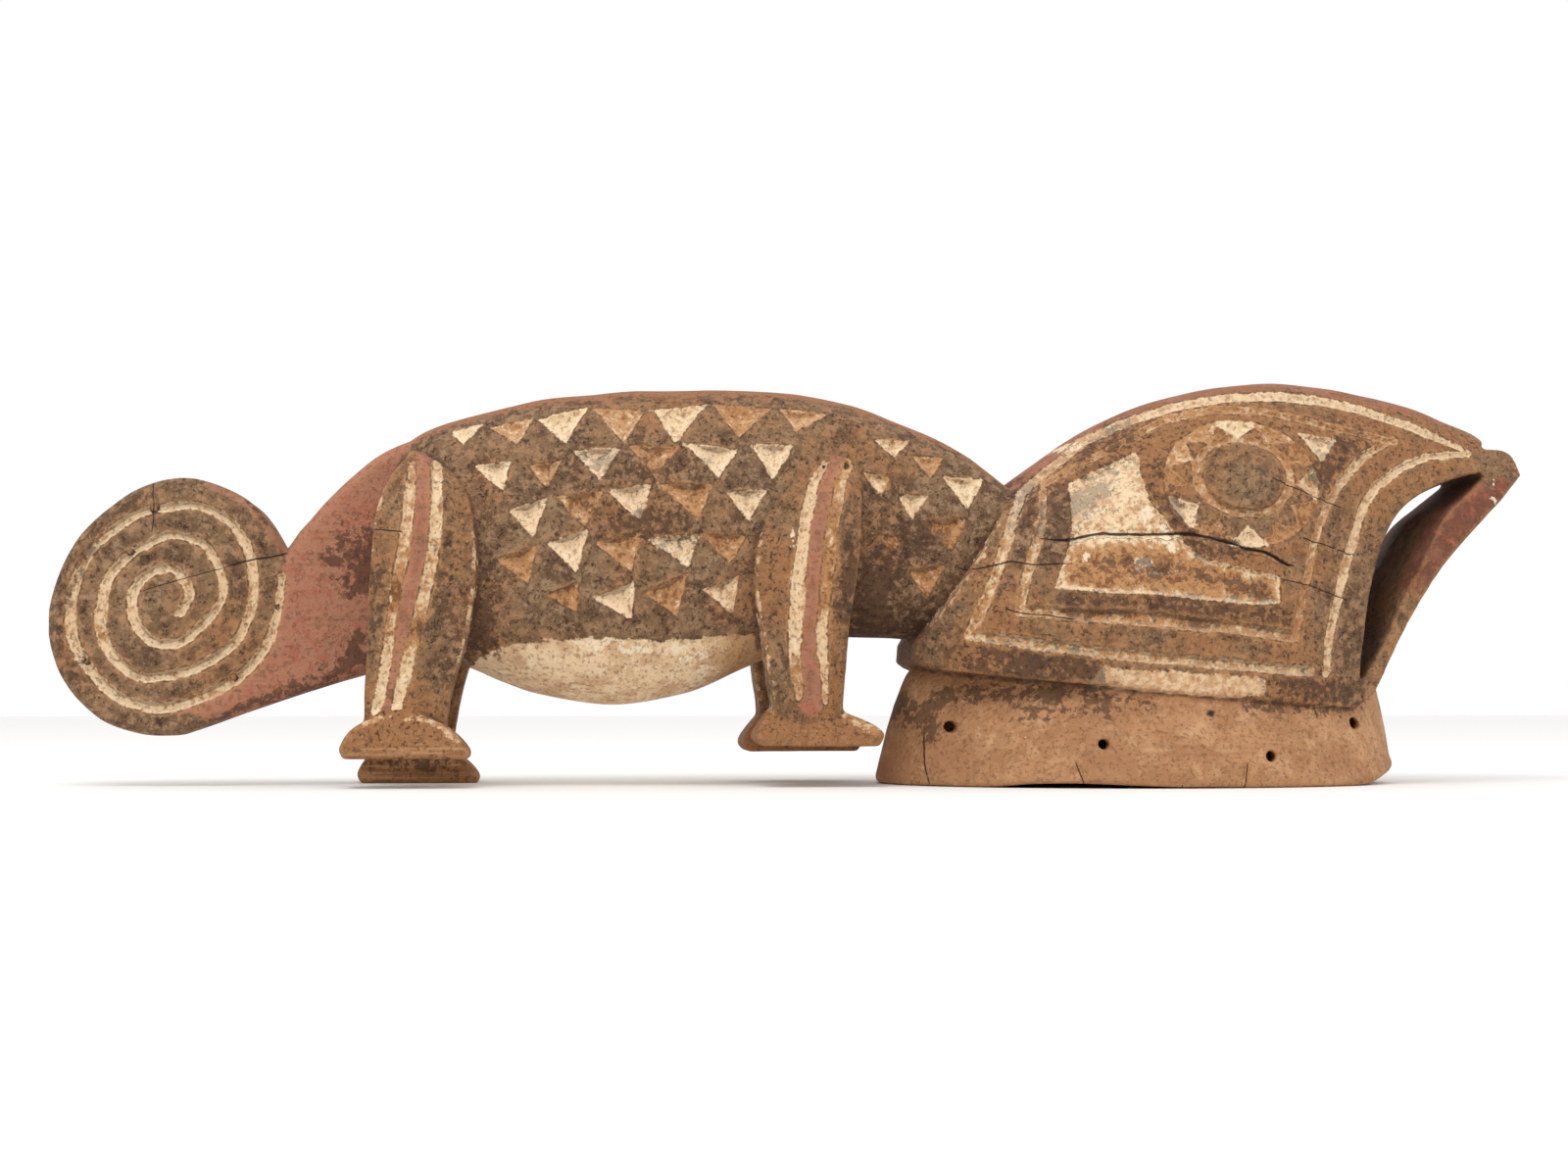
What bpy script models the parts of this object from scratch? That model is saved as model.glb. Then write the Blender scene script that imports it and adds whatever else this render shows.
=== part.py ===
# Helmet mask carved from one log in the form of a chameleon. A curled tail, a barrel body on
# four legs and a crested head stand on a flared, hollow collar that goes over the wearer's head.
# Lengths are in millimetres from the outer edge of the curled tail, heights from the ground,
# and widths from the middle plane. The near side of the mask faces -Y, and its head faces +X.
import math

import bmesh
import bpy
from mathutils import Vector

MM = 0.001

# Driving dimensions of the whole mask
mask_length = 896.0
near_side = -1.0
far_side = 1.0

# Tail: a flat plate whose end is curled into a disc with a spiral groove
tail_half_thickness = 22.0
tail_edge_bevel = 5.0
disc_outline = [(138, 139), (121, 165), (94, 180), (70, 182), (43, 171), (16, 145), (1, 104),
                (7, 68), (28, 42), (54, 31), (76, 30)]
tail_top_edge = [(146, 151), (168, 176), (196, 199), (235, 215)]
tail_bottom_edge = [(262, 76), (187, 67)]
spiral_centre = (70.0, 111.0)
spiral_first_radius = 15.0
spiral_pitch = 17.5
spiral_height_ratio = 1.06
spiral_start_turn = -0.1
spiral_end_turn = 3.03
spiral_points_per_turn = 16
spiral_groove_width = 5.6
spiral_groove_depth = 3.6

# Body: a barrel, flat at the flanks, given by its back, its belly and its half width
body_back = [(190, 192), (222, 214), (258, 225), (293, 233), (347, 238), (401, 239), (437, 238),
             (473, 232), (510, 219), (546, 202), (572, 182), (610, 160)]
body_belly = [(190, 80), (222, 78), (247, 70), (266, 62), (287, 55), (331, 48), (373, 54),
              (416, 72), (445, 83), (476, 89), (515, 88), (560, 92), (610, 96)]
body_half_width = [(190, 18), (230, 40), (270, 53), (330, 59), (390, 60), (440, 55), (490, 49),
                   (530, 48), (570, 50), (610, 44)]
body_squareness = 2.7
body_stations = 18
body_sides = 18

# Rows of three-cornered pits on the flank, each with the middle of its first pit's top edge,
# its last one's, how many pits, how much the gaps grow, pit width, pit height and the lean
pit_rows = [
    ((245, 209), (446, 223), 7, 0.10, 26, 18, 1),
    ((262, 189), (424, 203), 6, 0.03, 24, 20, 1),
    ((283, 165), (409, 177), 5, 0.06, 24, 20, 4),
    ((275, 139), (398, 148), 5, 0.00, 25, 19, 8),
    ((302, 117), (394, 122), 4, 0.06, 23, 20, 8),
    ((497, 205), (541, 182), 3, 0.00, 19, 15, 2),
    ((487, 184), (528, 157), 3, -0.10, 19, 16, 3),
    ((518, 129), (518, 129), 1, 0.00, 22, 18, 2),
]
pit_depth = 3.4
pit_wall_slope = 0.72
pit_lid_reach = 1.5
cut_reach = 5.0
groove_floor_share = 0.6
groove_lid_reach = 2.0
slope_step = 0.5

# Legs: outer leaf-shaped haunches that run down to free legs, given by their rear and front
# edges, with the face's distance from the middle plane at each height
hind_leg_rear = [(14, 188), (41, 188), (90, 190), (124, 191), (156, 193), (180, 201), (197, 213)]
hind_leg_front = [(14, 231), (57, 238), (82, 245), (107, 250), (124, 252), (160, 249), (182, 238),
                  (197, 219)]
fore_leg_rear = [(22, 424), (44, 425), (66, 422), (92, 418), (120, 414), (135, 415), (159, 422),
                 (186, 438), (211, 461)]
fore_leg_front = [(22, 466), (44, 466), (73, 468), (95, 470), (120, 474), (150, 477), (181, 478),
                  (200, 473), (211, 468)]
leg_face = [(14, 69), (60, 69), (130, 70), (160, 67), (185, 58), (200, 45), (212, 36)]
leg_inner_face = 33.0
leg_inner_bevel = (3.0, 2.0)
leg_end_in_foot = 8.0
haunch_inner_face = 8.0
haunch_foot_height = 92.0
leg_heights = 7
hind_flank = [(0.0, 5.0), (0.13, 0.0), (0.62, 0.0), (1.0, 9.0)]
fore_flank = [(0.0, 8.0), (0.28, 0.0), (0.78, 0.0), (1.0, 6.0)]
near_hind_sole = 17.0
far_hind_sole = 0.0
near_fore_sole = 24.0
far_fore_sole = 19.0

# The two stripe grooves down each leg, as shares of the leg's width at each height
stripe_width = 6.0
stripe_depth = 2.4
hind_stripes = [((44, 0.05), (184, 0.36)), ((44, 0.37), (184, 0.70))]
fore_stripes = [((50, 0.12), (186, 0.26)), ((50, 0.47), (186, 0.72))]
stripe_points = 6

# Feet: half-moon hind feet and wedge-shaped fore feet with a heel and a toe
foot_inner_face = 29.0
foot_outer_face = 75.0
foot_bevel = 2.0
far_hind_shift = 2.5
hind_foot_outline = [(177, 0), (175, 7), (184, 19), (204, 27), (225, 24), (240, 14), (248, 5),
                     (248, 0)]
fore_foot_outline = [(418, 0), (414, 6), (421, 18), (430, 24), (460, 24), (467, 20), (482, 13),
                     (489, 7), (486, 0)]

# Head: a tall casque with a crest, cut from a pillow form by the outline of its side view
head_crest = [(572, 182), (593, 197), (620, 215), (648, 229), (676, 238), (705, 244), (742, 247),
              (771, 245), (799, 240), (827, 233), (852, 223), (866, 217), (871, 211)]
upper_lip = [(868, 206), (874, 206), (881, 202), (886, 190)]
jaw_front = [(873, 175), (854, 155), (834, 133), (817, 109), (804, 87), (793, 66), (785, 53),
             (774, 46)]
jaw_bulge = 10.0
jaw_bulge_half_width = 50.0
head_base = [(640, 57), (543, 66), (520, 70), (511, 74)]
head_rear = [(512, 85), (531, 110), (546, 134), (560, 156), (564, 173)]
head_half_width = [(502, 6), (508, 30), (517, 48), (531, 65), (560, 79), (620, 86), (680, 87),
                   (730, 80), (770, 66), (800, 59), (840, 55), (870, 50), (885, 44), (900, 34)]
head_foot_height = 45.0
head_block_foot = 30.0
head_block_spare = 6.0
head_crest_half_width = 11.0
head_arch = 3.0
head_stations = 15
head_levels = 9
head_level_power = 1.5
head_view_shares = (-3.0, -1.0, -0.5, 0.0, 0.5, 1.0, 3.0)

# Mouth: a lens-shaped slot right through from side to side, closed at both ends
mouth_rear_edge = [(778, 63), (781, 92), (786, 119), (796, 149), (811, 170), (838, 185), (866, 190)]
mouth_front_edge = [(852, 176), (836, 160), (822, 137), (806, 110), (793, 84)]
mouth_cut_half_width = 130.0

# Grooves that frame the cheek and the eye
head_groove_width = 5.0
head_groove_depth = 2.6
outer_frame = [(742, 68), (680, 73), (626, 78), (562, 85), (540, 89), (549, 110), (560, 135),
               (567, 159), (570, 176), (584, 185), (617, 208), (643, 220), (668, 228), (702, 234),
               (734, 236), (764, 234), (790, 229), (816, 221), (836, 213), (853, 206)]
inner_frame_low = [(808, 211), (786, 199), (770, 184), (758, 168), (749, 148), (742, 124),
                   (737, 105), (733, 86), (705, 90), (644, 96), (568, 103), (572, 121),
                   (579, 140), (585, 158), (588, 175)]
inner_frame_high = [(588, 173), (590, 180), (606, 189), (632, 203), (664, 220), (693, 226),
                    (719, 226), (744, 222), (775, 216), (808, 209)]
lip_groove = [(857, 203), (831, 200), (810, 192), (793, 181), (783, 168), (776, 150), (770, 135),
              (765, 119), (760, 102), (756, 86), (754, 67)]

# Eye: a low oval dome with a ring groove, inside a ring of three-cornered pits
eye_centre = (705.5, 184.0)
eye_half_size = (26.0, 20.5)
eye_rise = 7.0
eye_ring_width = 4.5
eye_ring_depth = 2.0
eye_pit_ring = (48.0, 39.0)
eye_pit_centre = (705.0, 180.0)
eye_pit_inner_share = 0.68
eye_pit_half_angle = 0.42
eye_pit_count = 12
eye_points = 13
eye_depth = 6.0
eye_profile = [(1.0, 0.3), (0.85, 0.5), (0.6, 0.8), (0.3, 0.96)]
eye_corner_pit = [(744, 212), (770, 209), (757, 195)]

# Collar: a flared oval tube that goes over the wearer's head
collar_centre = 654.0
collar_half_length = 161.0
collar_half_width = 112.0
collar_wall = 14.0
collar_rim_bevel = 5.0
collar_neck_height = 71.0
collar_neck_half_length = 143.0
collar_neck_half_width = 66.0
collar_neck_centre = 659.0
collar_root_height = 84.0
collar_root_share = 0.82
collar_front_lift = 8.0
collar_front_lift_start = 775.0
collar_flare_power = 0.7
collar_ring_heights = (24.0, 42.0, 55.0)
collar_sides = 32
tie_hole_diameter = 8.0
tie_hole_sides = 6
tie_hole_reach = (40.0, 130.0)
tie_holes = [(531, 35), (614, 25), (713, 18), (775, 37)]

# Cavity above the collar: an oval dome hollowed up into the head
cavity_half_length = 110.0
cavity_half_width = 74.0
cavity_shoulder = 54.0
cavity_top = 168.0
cavity_centre = 652.0
cavity_ring_heights = (-6.0, 3.0, 20.0, 34.0)
cavity_dome_turns = (0.0, 20.0, 40.0, 60.0)

# Finish: dry wood with old paint and soot
wood_colour = (0.19, 0.125, 0.085, 1.0)
wood_roughness = 0.72


def place(x, y, z):
    """Turns a length, a width and a height in millimetres into the mask's own frame."""
    return Vector(((x - mask_length / 2) * MM, y * MM, z * MM))


def smooth_points(points, per_span, closed=False):
    """Points on a smooth curve that passes through every given point."""
    count = len(points)
    spans = count if closed else count - 1
    result = []
    for i in range(spans):
        if closed:
            a, b, c, d = (points[(i + k) % count] for k in (-1, 0, 1, 2))
        else:
            a, b, c, d = (points[min(max(i + k, 0), count - 1)] for k in (-1, 0, 1, 2))
        for step in range(per_span):
            t = step / per_span
            result.append(tuple(
                0.5 * (2 * b[k] + (c[k] - a[k]) * t + (2 * a[k] - 5 * b[k] + 4 * c[k] - d[k]) * t * t
                       + (3 * b[k] - a[k] - 3 * c[k] + d[k]) * t ** 3)
                for k in range(2)))
    if not closed:
        result.append(tuple(points[-1]))
    return result


def value_at(curve, x):
    """Height of a smooth curve at x, with level slopes limited so that it never overshoots."""
    if x <= curve[0][0]:
        return float(curve[0][1])
    if x >= curve[-1][0]:
        return float(curve[-1][1])
    i = max(k for k in range(len(curve) - 1) if curve[k][0] <= x)
    slopes = [(curve[k + 1][1] - curve[k][1]) / (curve[k + 1][0] - curve[k][0])
              for k in range(len(curve) - 1)]

    def tangent(k):
        if k == 0 or k == len(curve) - 1:
            return slopes[min(k, len(slopes) - 1)]
        if slopes[k - 1] * slopes[k] <= 0:
            return 0.0
        return 2 * slopes[k - 1] * slopes[k] / (slopes[k - 1] + slopes[k])

    (x0, y0), (x1, y1) = curve[i], curve[i + 1]
    span = x1 - x0
    t = (x - x0) / span
    return (y0 * (1 + 2 * t) * (1 - t) ** 2 + tangent(i) * span * t * (1 - t) ** 2
            + y1 * t * t * (3 - 2 * t) + tangent(i + 1) * span * t * t * (t - 1))


def new_solid(name, points, faces):
    """An object made of one closed mesh, with its faces turned outwards."""
    mesh = bpy.data.meshes.new(name)
    mesh.from_pydata([place(*p) for p in points], [], faces)
    shape = bmesh.new()
    shape.from_mesh(mesh)
    bmesh.ops.recalc_face_normals(shape, faces=shape.faces)
    shape.to_mesh(mesh)
    shape.free()
    solid = bpy.data.objects.new(name, mesh)
    bpy.context.scene.collection.objects.link(solid)
    return solid


def loft(name, rings):
    """A solid skinned over rings of equal length, closed by a cap at each end."""
    size = len(rings[0])
    points = [p for ring in rings for p in ring]
    faces = [tuple(range(size)), tuple(range(len(points) - size, len(points)))]
    for r in range(len(rings) - 1):
        for k in range(size):
            n = (k + 1) % size
            faces.append((r * size + k, r * size + n, (r + 1) * size + n, (r + 1) * size + k))
    return new_solid(name, points, faces)


def inset(outline, distance):
    """The closed outline moved inwards by a distance at every corner."""
    area = sum(a[0] * b[1] - b[0] * a[1] for a, b in zip(outline, outline[1:] + outline[:1]))
    turn = 1 if area > 0 else -1
    result = []
    for i, point in enumerate(outline):
        before = Vector(outline[i - 1])
        here = Vector(point)
        after = Vector(outline[(i + 1) % len(outline)])
        side_in = (here - before).normalized()
        side_out = (after - here).normalized()
        normal_in = Vector((-side_in.y, side_in.x)) * turn
        normal_out = Vector((-side_out.y, side_out.x)) * turn
        middle = (normal_in + normal_out).normalized()
        reach = distance / max(middle.dot(normal_in), 0.5)
        result.append(tuple(here + middle * reach))
    return result


def plate(name, outline, inner, outer, bevel_inner, bevel_outer):
    """An outline of the side view, cut out of a board between two widths, with eased edges."""
    rings = []
    if bevel_inner:
        rings.append((inset(outline, bevel_inner), inner))
    rings.append((outline, inner + math.copysign(bevel_inner, outer - inner)))
    rings.append((outline, outer - math.copysign(bevel_outer, outer - inner)))
    if bevel_outer:
        rings.append((inset(outline, bevel_outer), outer))
    return loft(name, [[(x, y, z) for x, z in ring] for ring, y in rings])


def body_surface(x, z):
    """Half width of the barrel at a place of its side view."""
    back = value_at(body_back, x)
    belly = value_at(body_belly, x)
    share = min(abs(2 * z - back - belly) / (back - belly), 1.0)
    return value_at(body_half_width, x) * (1 - share ** body_squareness) ** (1 / body_squareness)


def head_surface(x, z):
    """Half width of the head: full at the cheek, arched in to the narrow crest."""
    crest = value_at(head_crest, x) if x < head_crest[-2][0] else head_crest[-2][1]
    share = min(max((z - head_foot_height) / (crest - head_foot_height), 0.0), 1.0)
    arch = (1 - share ** head_arch) ** 0.5
    cheek = value_at(head_half_width, x)
    tip = min(head_crest_half_width, cheek)
    return tip + (cheek - tip) * arch


def tail_surface(x, z):
    """Half width of the tail's flat plate."""
    return tail_half_thickness


def leg_surface(x, z):
    """Distance of a leg's face from the middle plane."""
    return value_at(leg_face, z)


def on_surface(surface, side, x, z, out):
    """A point above or below a carved surface, measured square to it."""
    slope_x = (surface(x + slope_step, z) - surface(x - slope_step, z)) / (2 * slope_step)
    slope_z = (surface(x, z + slope_step) - surface(x, z - slope_step)) / (2 * slope_step)
    normal = Vector((-slope_x, 1.0, -slope_z)).normalized()
    point = Vector((x, surface(x, z), z)) + normal * out
    return (point.x, side * point.y, point.z)


def groove(name, surface, side, path, width, depth):
    """Cutter for a groove with sloping walls that follows a path on a surface."""
    rings = []
    for i, place_on_path in enumerate(path):
        here = Vector(place_on_path)
        along = (Vector(path[min(i + 1, len(path) - 1)]) - Vector(path[max(i - 1, 0)])).normalized()
        across = Vector((-along.y, along.x)) * width / 2
        spread = groove_floor_share + (1 - groove_floor_share) * (depth + groove_lid_reach) / depth
        ring = []
        for share, out in ((groove_floor_share, -depth), (-groove_floor_share, -depth),
                           (-spread, groove_lid_reach), (spread, groove_lid_reach)):
            point = here + across * share
            ring.append(on_surface(surface, side, point.x, point.y, out))
        rings.append(ring)
    return loft(name, rings)


def pit(name, surface, side, corners):
    """Cutter for a three-cornered pit with sloping walls and a floor that follows the surface."""
    middle = sum((Vector(c) for c in corners), Vector((0, 0))) / len(corners)
    floor = [middle + (Vector(c) - middle) * pit_wall_slope for c in corners]
    grow = 1 + (1 - pit_wall_slope) * pit_lid_reach / pit_depth
    lid = [middle + (Vector(c) - middle) * grow for c in corners]
    rings = [[on_surface(surface, side, c.x, c.y, -pit_depth) for c in floor],
             [on_surface(surface, side, c.x, c.y, pit_lid_reach) for c in lid]]
    return loft(name, rings)


def join(first, other, operation):
    """Adds or cuts another solid, which then only serves as a guide."""
    boolean = first.modifiers.new(operation.lower() + " " + other.name, "BOOLEAN")
    boolean.operation = operation
    boolean.object = other
    boolean.solver = "EXACT"
    other.hide_render = True
    other.display_type = "WIRE"


def merge(name, solids):
    """Puts separate cutters that don't touch each other into one guide object."""
    shape = bmesh.new()
    for solid in solids:
        shape.from_mesh(solid.data)
        bpy.data.objects.remove(solid, do_unlink=True)
    mesh = bpy.data.meshes.new(name)
    shape.to_mesh(mesh)
    shape.free()
    merged = bpy.data.objects.new(name, mesh)
    bpy.context.scene.collection.objects.link(merged)
    return merged


def make_body():
    """The barrel from the root of the tail to the neck inside the head."""
    first, last = body_back[0][0], body_back[-1][0]
    rings = []
    for i in range(body_stations):
        x = first + (last - first) * i / (body_stations - 1)
        back = value_at(body_back, x)
        belly = value_at(body_belly, x)
        half_width = value_at(body_half_width, x)
        ring = []
        for k in range(body_sides):
            turn = 2 * math.pi * (k + 0.5) / body_sides
            across = math.copysign(abs(math.cos(turn)) ** (2 / body_squareness), math.cos(turn))
            up = math.copysign(abs(math.sin(turn)) ** (2 / body_squareness), math.sin(turn))
            ring.append((x, half_width * across, (back + belly) / 2 + up * (back - belly) / 2))
        rings.append(ring)
    return loft("chameleon_mask", rings)


def make_tail():
    """The tail's plate, curled into a disc at its end."""
    curl = smooth_points(disc_outline, 2)
    outline = curl + tail_bottom_edge[::-1] + tail_top_edge[::-1]
    return plate("tail", outline, -tail_half_thickness, tail_half_thickness,
                 tail_edge_bevel, tail_edge_bevel)


def make_spiral(side):
    """The spiral groove of the curled tail, a steady spiral drawn out a little in height."""
    count = round((spiral_end_turn - spiral_start_turn) * spiral_points_per_turn)
    path = []
    for i in range(count + 1):
        turn = spiral_start_turn + (spiral_end_turn - spiral_start_turn) * i / count
        radius = spiral_first_radius + spiral_pitch * turn
        angle = 2 * math.pi * turn
        path.append((spiral_centre[0] + radius * math.cos(angle),
                     spiral_centre[1] + radius * math.sin(angle) * spiral_height_ratio))
    return groove("spiral", tail_surface, side, path, spiral_groove_width, spiral_groove_depth)


def make_leg(name, rear, front, flank, side, sole, shift):
    """A haunch on the flank that runs down into a free leg, ending inside its foot."""
    low = sole + leg_end_in_foot
    high = rear[-1][0]
    heights = [low + (high - low) * i / (leg_heights - 1) for i in range(leg_heights)]
    heights.append(haunch_foot_height)
    rings = []
    for z in sorted(set(heights)):
        x0 = value_at(rear, z) + shift
        x1 = value_at(front, z) + shift
        face = value_at(leg_face, z)
        inner = leg_inner_face if z < haunch_foot_height else haunch_inner_face
        cut_x, cut_y = leg_inner_bevel
        ring = [(x0 + (x1 - x0) * share, side * (face - drop), z) for share, drop in flank]
        ring += [(x1, side * (inner + cut_y), z), (x1 - cut_x, side * inner, z),
                 (x0 + cut_x, side * inner, z), (x0, side * (inner + cut_y), z)]
        rings.append(ring)
    return loft(name, rings)


def make_stripes(rear, front, stripes, side, shift):
    """The two grooves that run down a leg's face."""
    cutters = []
    for (low, low_share), (high, high_share) in stripes:
        path = []
        for i in range(stripe_points):
            t = i / (stripe_points - 1)
            z = low + (high - low) * t
            x0 = value_at(rear, z) + shift
            x1 = value_at(front, z) + shift
            path.append((x0 + (x1 - x0) * (low_share + (high_share - low_share) * t), z))
        cutters.append(groove("stripe", leg_surface, side, path, stripe_width, stripe_depth))
    return cutters


def make_foot(name, outline, side, sole, shift):
    """A foot cut from a board, with its flat sole at the given height."""
    raised = [(x + shift, z + sole) for x, z in smooth_points(outline, 2)]
    return plate(name, raised, side * foot_inner_face, side * foot_outer_face,
                 foot_bevel, foot_bevel)


def make_head():
    """The pillow form of the head, cut to the outline of its side view."""
    first, last = head_half_width[0][0], head_half_width[-1][0]
    stations = [first + (last - first) * i / (head_stations - 1) for i in range(head_stations)]
    stations += [x for x, half_width in head_half_width[1:4]]
    rings = []
    for x in sorted(stations):
        crest = value_at(head_crest, x) + head_block_spare
        heights = [head_block_foot]
        for k in range(head_levels):
            share = 1 - (1 - k / (head_levels - 1)) ** head_level_power
            heights.append(head_foot_height + (crest - head_foot_height) * share)
        ring = [(x, head_surface(x, z), z) for z in heights]
        ring += [(x, -head_surface(x, z), z) for z in reversed(heights)]
        rings.append(ring)
    head = loft("head", rings)
    views = []
    for share in head_view_shares:
        bulge = jaw_bulge * max(1 - share * share, 0.0)
        chin = [(x + bulge, z) for x, z in upper_lip[1:] + jaw_front[:-1]]
        outline = head_crest + upper_lip[:1] + chin + jaw_front[-1:] + head_base + head_rear
        views.append([(x, jaw_bulge_half_width * share, z) for x, z in outline])
    join(head, loft("head side view", views), "INTERSECT")
    return head


def oval(centre, half_length, half_width, height, sides):
    """A level ring of points on an oval."""
    ring = []
    for k in range(sides):
        angle = 2 * math.pi * (k + 0.5) / sides
        ring.append((centre + half_length * math.cos(angle), half_width * math.sin(angle), height))
    return ring


def collar_ring(share, inwards):
    """A ring of the collar's outer or inner face, at a share of the way up its neck."""
    flare = (1 - share) ** collar_flare_power
    centre = collar_neck_centre + (collar_centre - collar_neck_centre) * flare
    half_length = collar_neck_half_length + (collar_half_length - collar_neck_half_length) * flare
    half_width = collar_neck_half_width + (collar_half_width - collar_neck_half_width) * flare
    return centre, half_length - inwards, half_width - inwards


def lifted(ring):
    """Raises the front end of the rim, where it is worn away."""
    reach = collar_centre + collar_half_length - collar_front_lift_start
    result = []
    for x, y, z in ring:
        t = max(0.0, (x - collar_front_lift_start) / reach)
        result.append((x, y, z + collar_front_lift * t * t * (3 - 2 * min(t, 1.0)) if t else z))
    return result


def make_collar():
    """The outer form of the flared collar, still solid, with an eased rim."""
    rings = []
    for height, inwards in ((0.0, collar_rim_bevel), (collar_rim_bevel, 0.0)):
        centre, a, b = collar_ring(height / collar_neck_height, inwards)
        rings.append(lifted(oval(centre, a, b, height, collar_sides)))
    for height in collar_ring_heights + (collar_neck_height,):
        centre, a, b = collar_ring(height / collar_neck_height, 0.0)
        rings.append(oval(centre, a, b, height, collar_sides))
    rings.append(oval(collar_neck_centre, collar_neck_half_length * collar_root_share,
                      collar_neck_half_width * collar_root_share, collar_root_height, collar_sides))
    return loft("collar", rings)


def make_cavity():
    """The hollow for the wearer's head, from below the rim to the dome inside the head."""
    rings = []
    for height in cavity_ring_heights:
        share = max(height, 0.0) / collar_neck_height
        centre, a, b = collar_ring(share, collar_wall)
        rings.append(oval(centre, a, b, height, collar_sides))
    for turn in cavity_dome_turns:
        angle = math.radians(turn)
        height = cavity_shoulder + (cavity_top - cavity_shoulder) * math.sin(angle)
        rings.append(oval(cavity_centre, cavity_half_length * math.cos(angle),
                          cavity_half_width * math.cos(angle), height, collar_sides))
    return loft("cavity", rings)


def make_mouth():
    """The lens-shaped slot of the mouth."""
    outline = smooth_points(mouth_rear_edge + mouth_front_edge, 2, closed=True)
    return plate("mouth", outline, -mouth_cut_half_width, mouth_cut_half_width, 0, 0)


def make_tie_hole(x, z, side):
    """A drill for a hole near the collar's rim, where ties or a fringe were fastened."""
    ring = []
    for k in range(tie_hole_sides):
        angle = 2 * math.pi * (k + 0.5) / tie_hole_sides
        ring.append((x + tie_hole_diameter / 2 * math.cos(angle),
                     z + tie_hole_diameter / 2 * math.sin(angle)))
    inner, outer = tie_hole_reach
    return plate("tie hole", ring, side * inner, side * outer, 0, 0)


def pit_corners(row, index):
    """Corners of one pit: two on its top edge and one below."""
    first, last, count, growth, width, height, lean = row
    t = index / (count - 1) if count > 1 else 0.0
    t -= growth * t * (1 - t)
    x = first[0] + (last[0] - first[0]) * t
    z = first[1] + (last[1] - first[1]) * t
    return [(x - width / 2, z - 0.5), (x + width / 2, z + 0.5), (x + lean, z - height)]


def make_pits(side):
    """All the three-cornered pits of the body and the neck, and the eye's on the head."""
    body_pits = []
    for row in pit_rows:
        for index in range(row[2]):
            body_pits.append(pit("body pit", body_surface, side, pit_corners(row, index)))
    head_pits = [pit("eye corner pit", head_surface, side, eye_corner_pit)]
    for k in range(eye_pit_count):
        corners = []
        for offset, reach in ((-eye_pit_half_angle, 1.0), (eye_pit_half_angle, 1.0),
                              (0.0, eye_pit_inner_share)):
            angle = 2 * math.pi * (k + offset) / eye_pit_count
            corners.append((eye_pit_centre[0] + eye_pit_ring[0] * reach * math.cos(angle),
                            eye_pit_centre[1] + eye_pit_ring[1] * reach * math.sin(angle)))
        head_pits.append(pit("eye pit", head_surface, side, corners))
    return body_pits, head_pits


def eye_path(share, margin):
    """An oval path of the side view round the eye, at a share of its size plus a margin."""
    half_length, half_height = (size * share + margin for size in eye_half_size)
    path = []
    for k in range(eye_points):
        angle = 2 * math.pi * k / eye_points
        path.append((eye_centre[0] + half_length * math.cos(angle),
                     eye_centre[1] + half_height * math.sin(angle)))
    return path


def make_eye_socket(side):
    """Cutter for the sunk disc that leaves a ring groove round the eye."""
    rings = [[on_surface(head_surface, side, x, z, out)
              for x, z in eye_path(1.0, eye_ring_width)]
             for out in (-eye_ring_depth, cut_reach)]
    return loft("eye socket", rings)


def make_eye(side):
    """The low dome of the eye, let into the cheek."""
    rings = []
    lifts = [(1.0, -eye_depth)] + [(share, rise * eye_rise) for share, rise in eye_profile]
    for share, lift in lifts:
        rings.append([on_surface(head_surface, side, x, z, lift)
                      for x, z in eye_path(share, 0.0)])
    return loft("eye", rings)


def wood_material():
    """Dry, painted and smoke-darkened wood."""
    material = bpy.data.materials.new("painted wood")
    material.use_nodes = True
    shader = material.node_tree.nodes["Principled BSDF"]
    shader.inputs["Base Color"].default_value = wood_colour
    shader.inputs["Roughness"].default_value = wood_roughness
    shader.inputs["Metallic"].default_value = 0.0
    material.diffuse_color = wood_colour
    return material


for old in list(bpy.data.objects):
    bpy.data.objects.remove(old, do_unlink=True)

mask = make_body()
join(mask, make_tail(), "UNION")
join(mask, make_collar(), "UNION")
join(mask, make_head(), "UNION")
stance = {near_side: (near_hind_sole, near_fore_sole, 0.0),
          far_side: (far_hind_sole, far_fore_sole, far_hind_shift)}
for side, (hind_sole, fore_sole, shift) in stance.items():
    legs = [make_leg("hind leg", hind_leg_rear, hind_leg_front, hind_flank, side, hind_sole, shift),
            make_leg("fore leg", fore_leg_rear, fore_leg_front, fore_flank, side, fore_sole, 0.0)]
    feet = [make_foot("hind foot", hind_foot_outline, side, hind_sole, shift),
            make_foot("fore foot", fore_foot_outline, side, fore_sole, 0.0)]
    for limb in legs + feet:
        join(mask, limb, "UNION")
    join(mask, make_eye_socket(side), "DIFFERENCE")
    join(mask, make_eye(side), "UNION")

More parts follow.
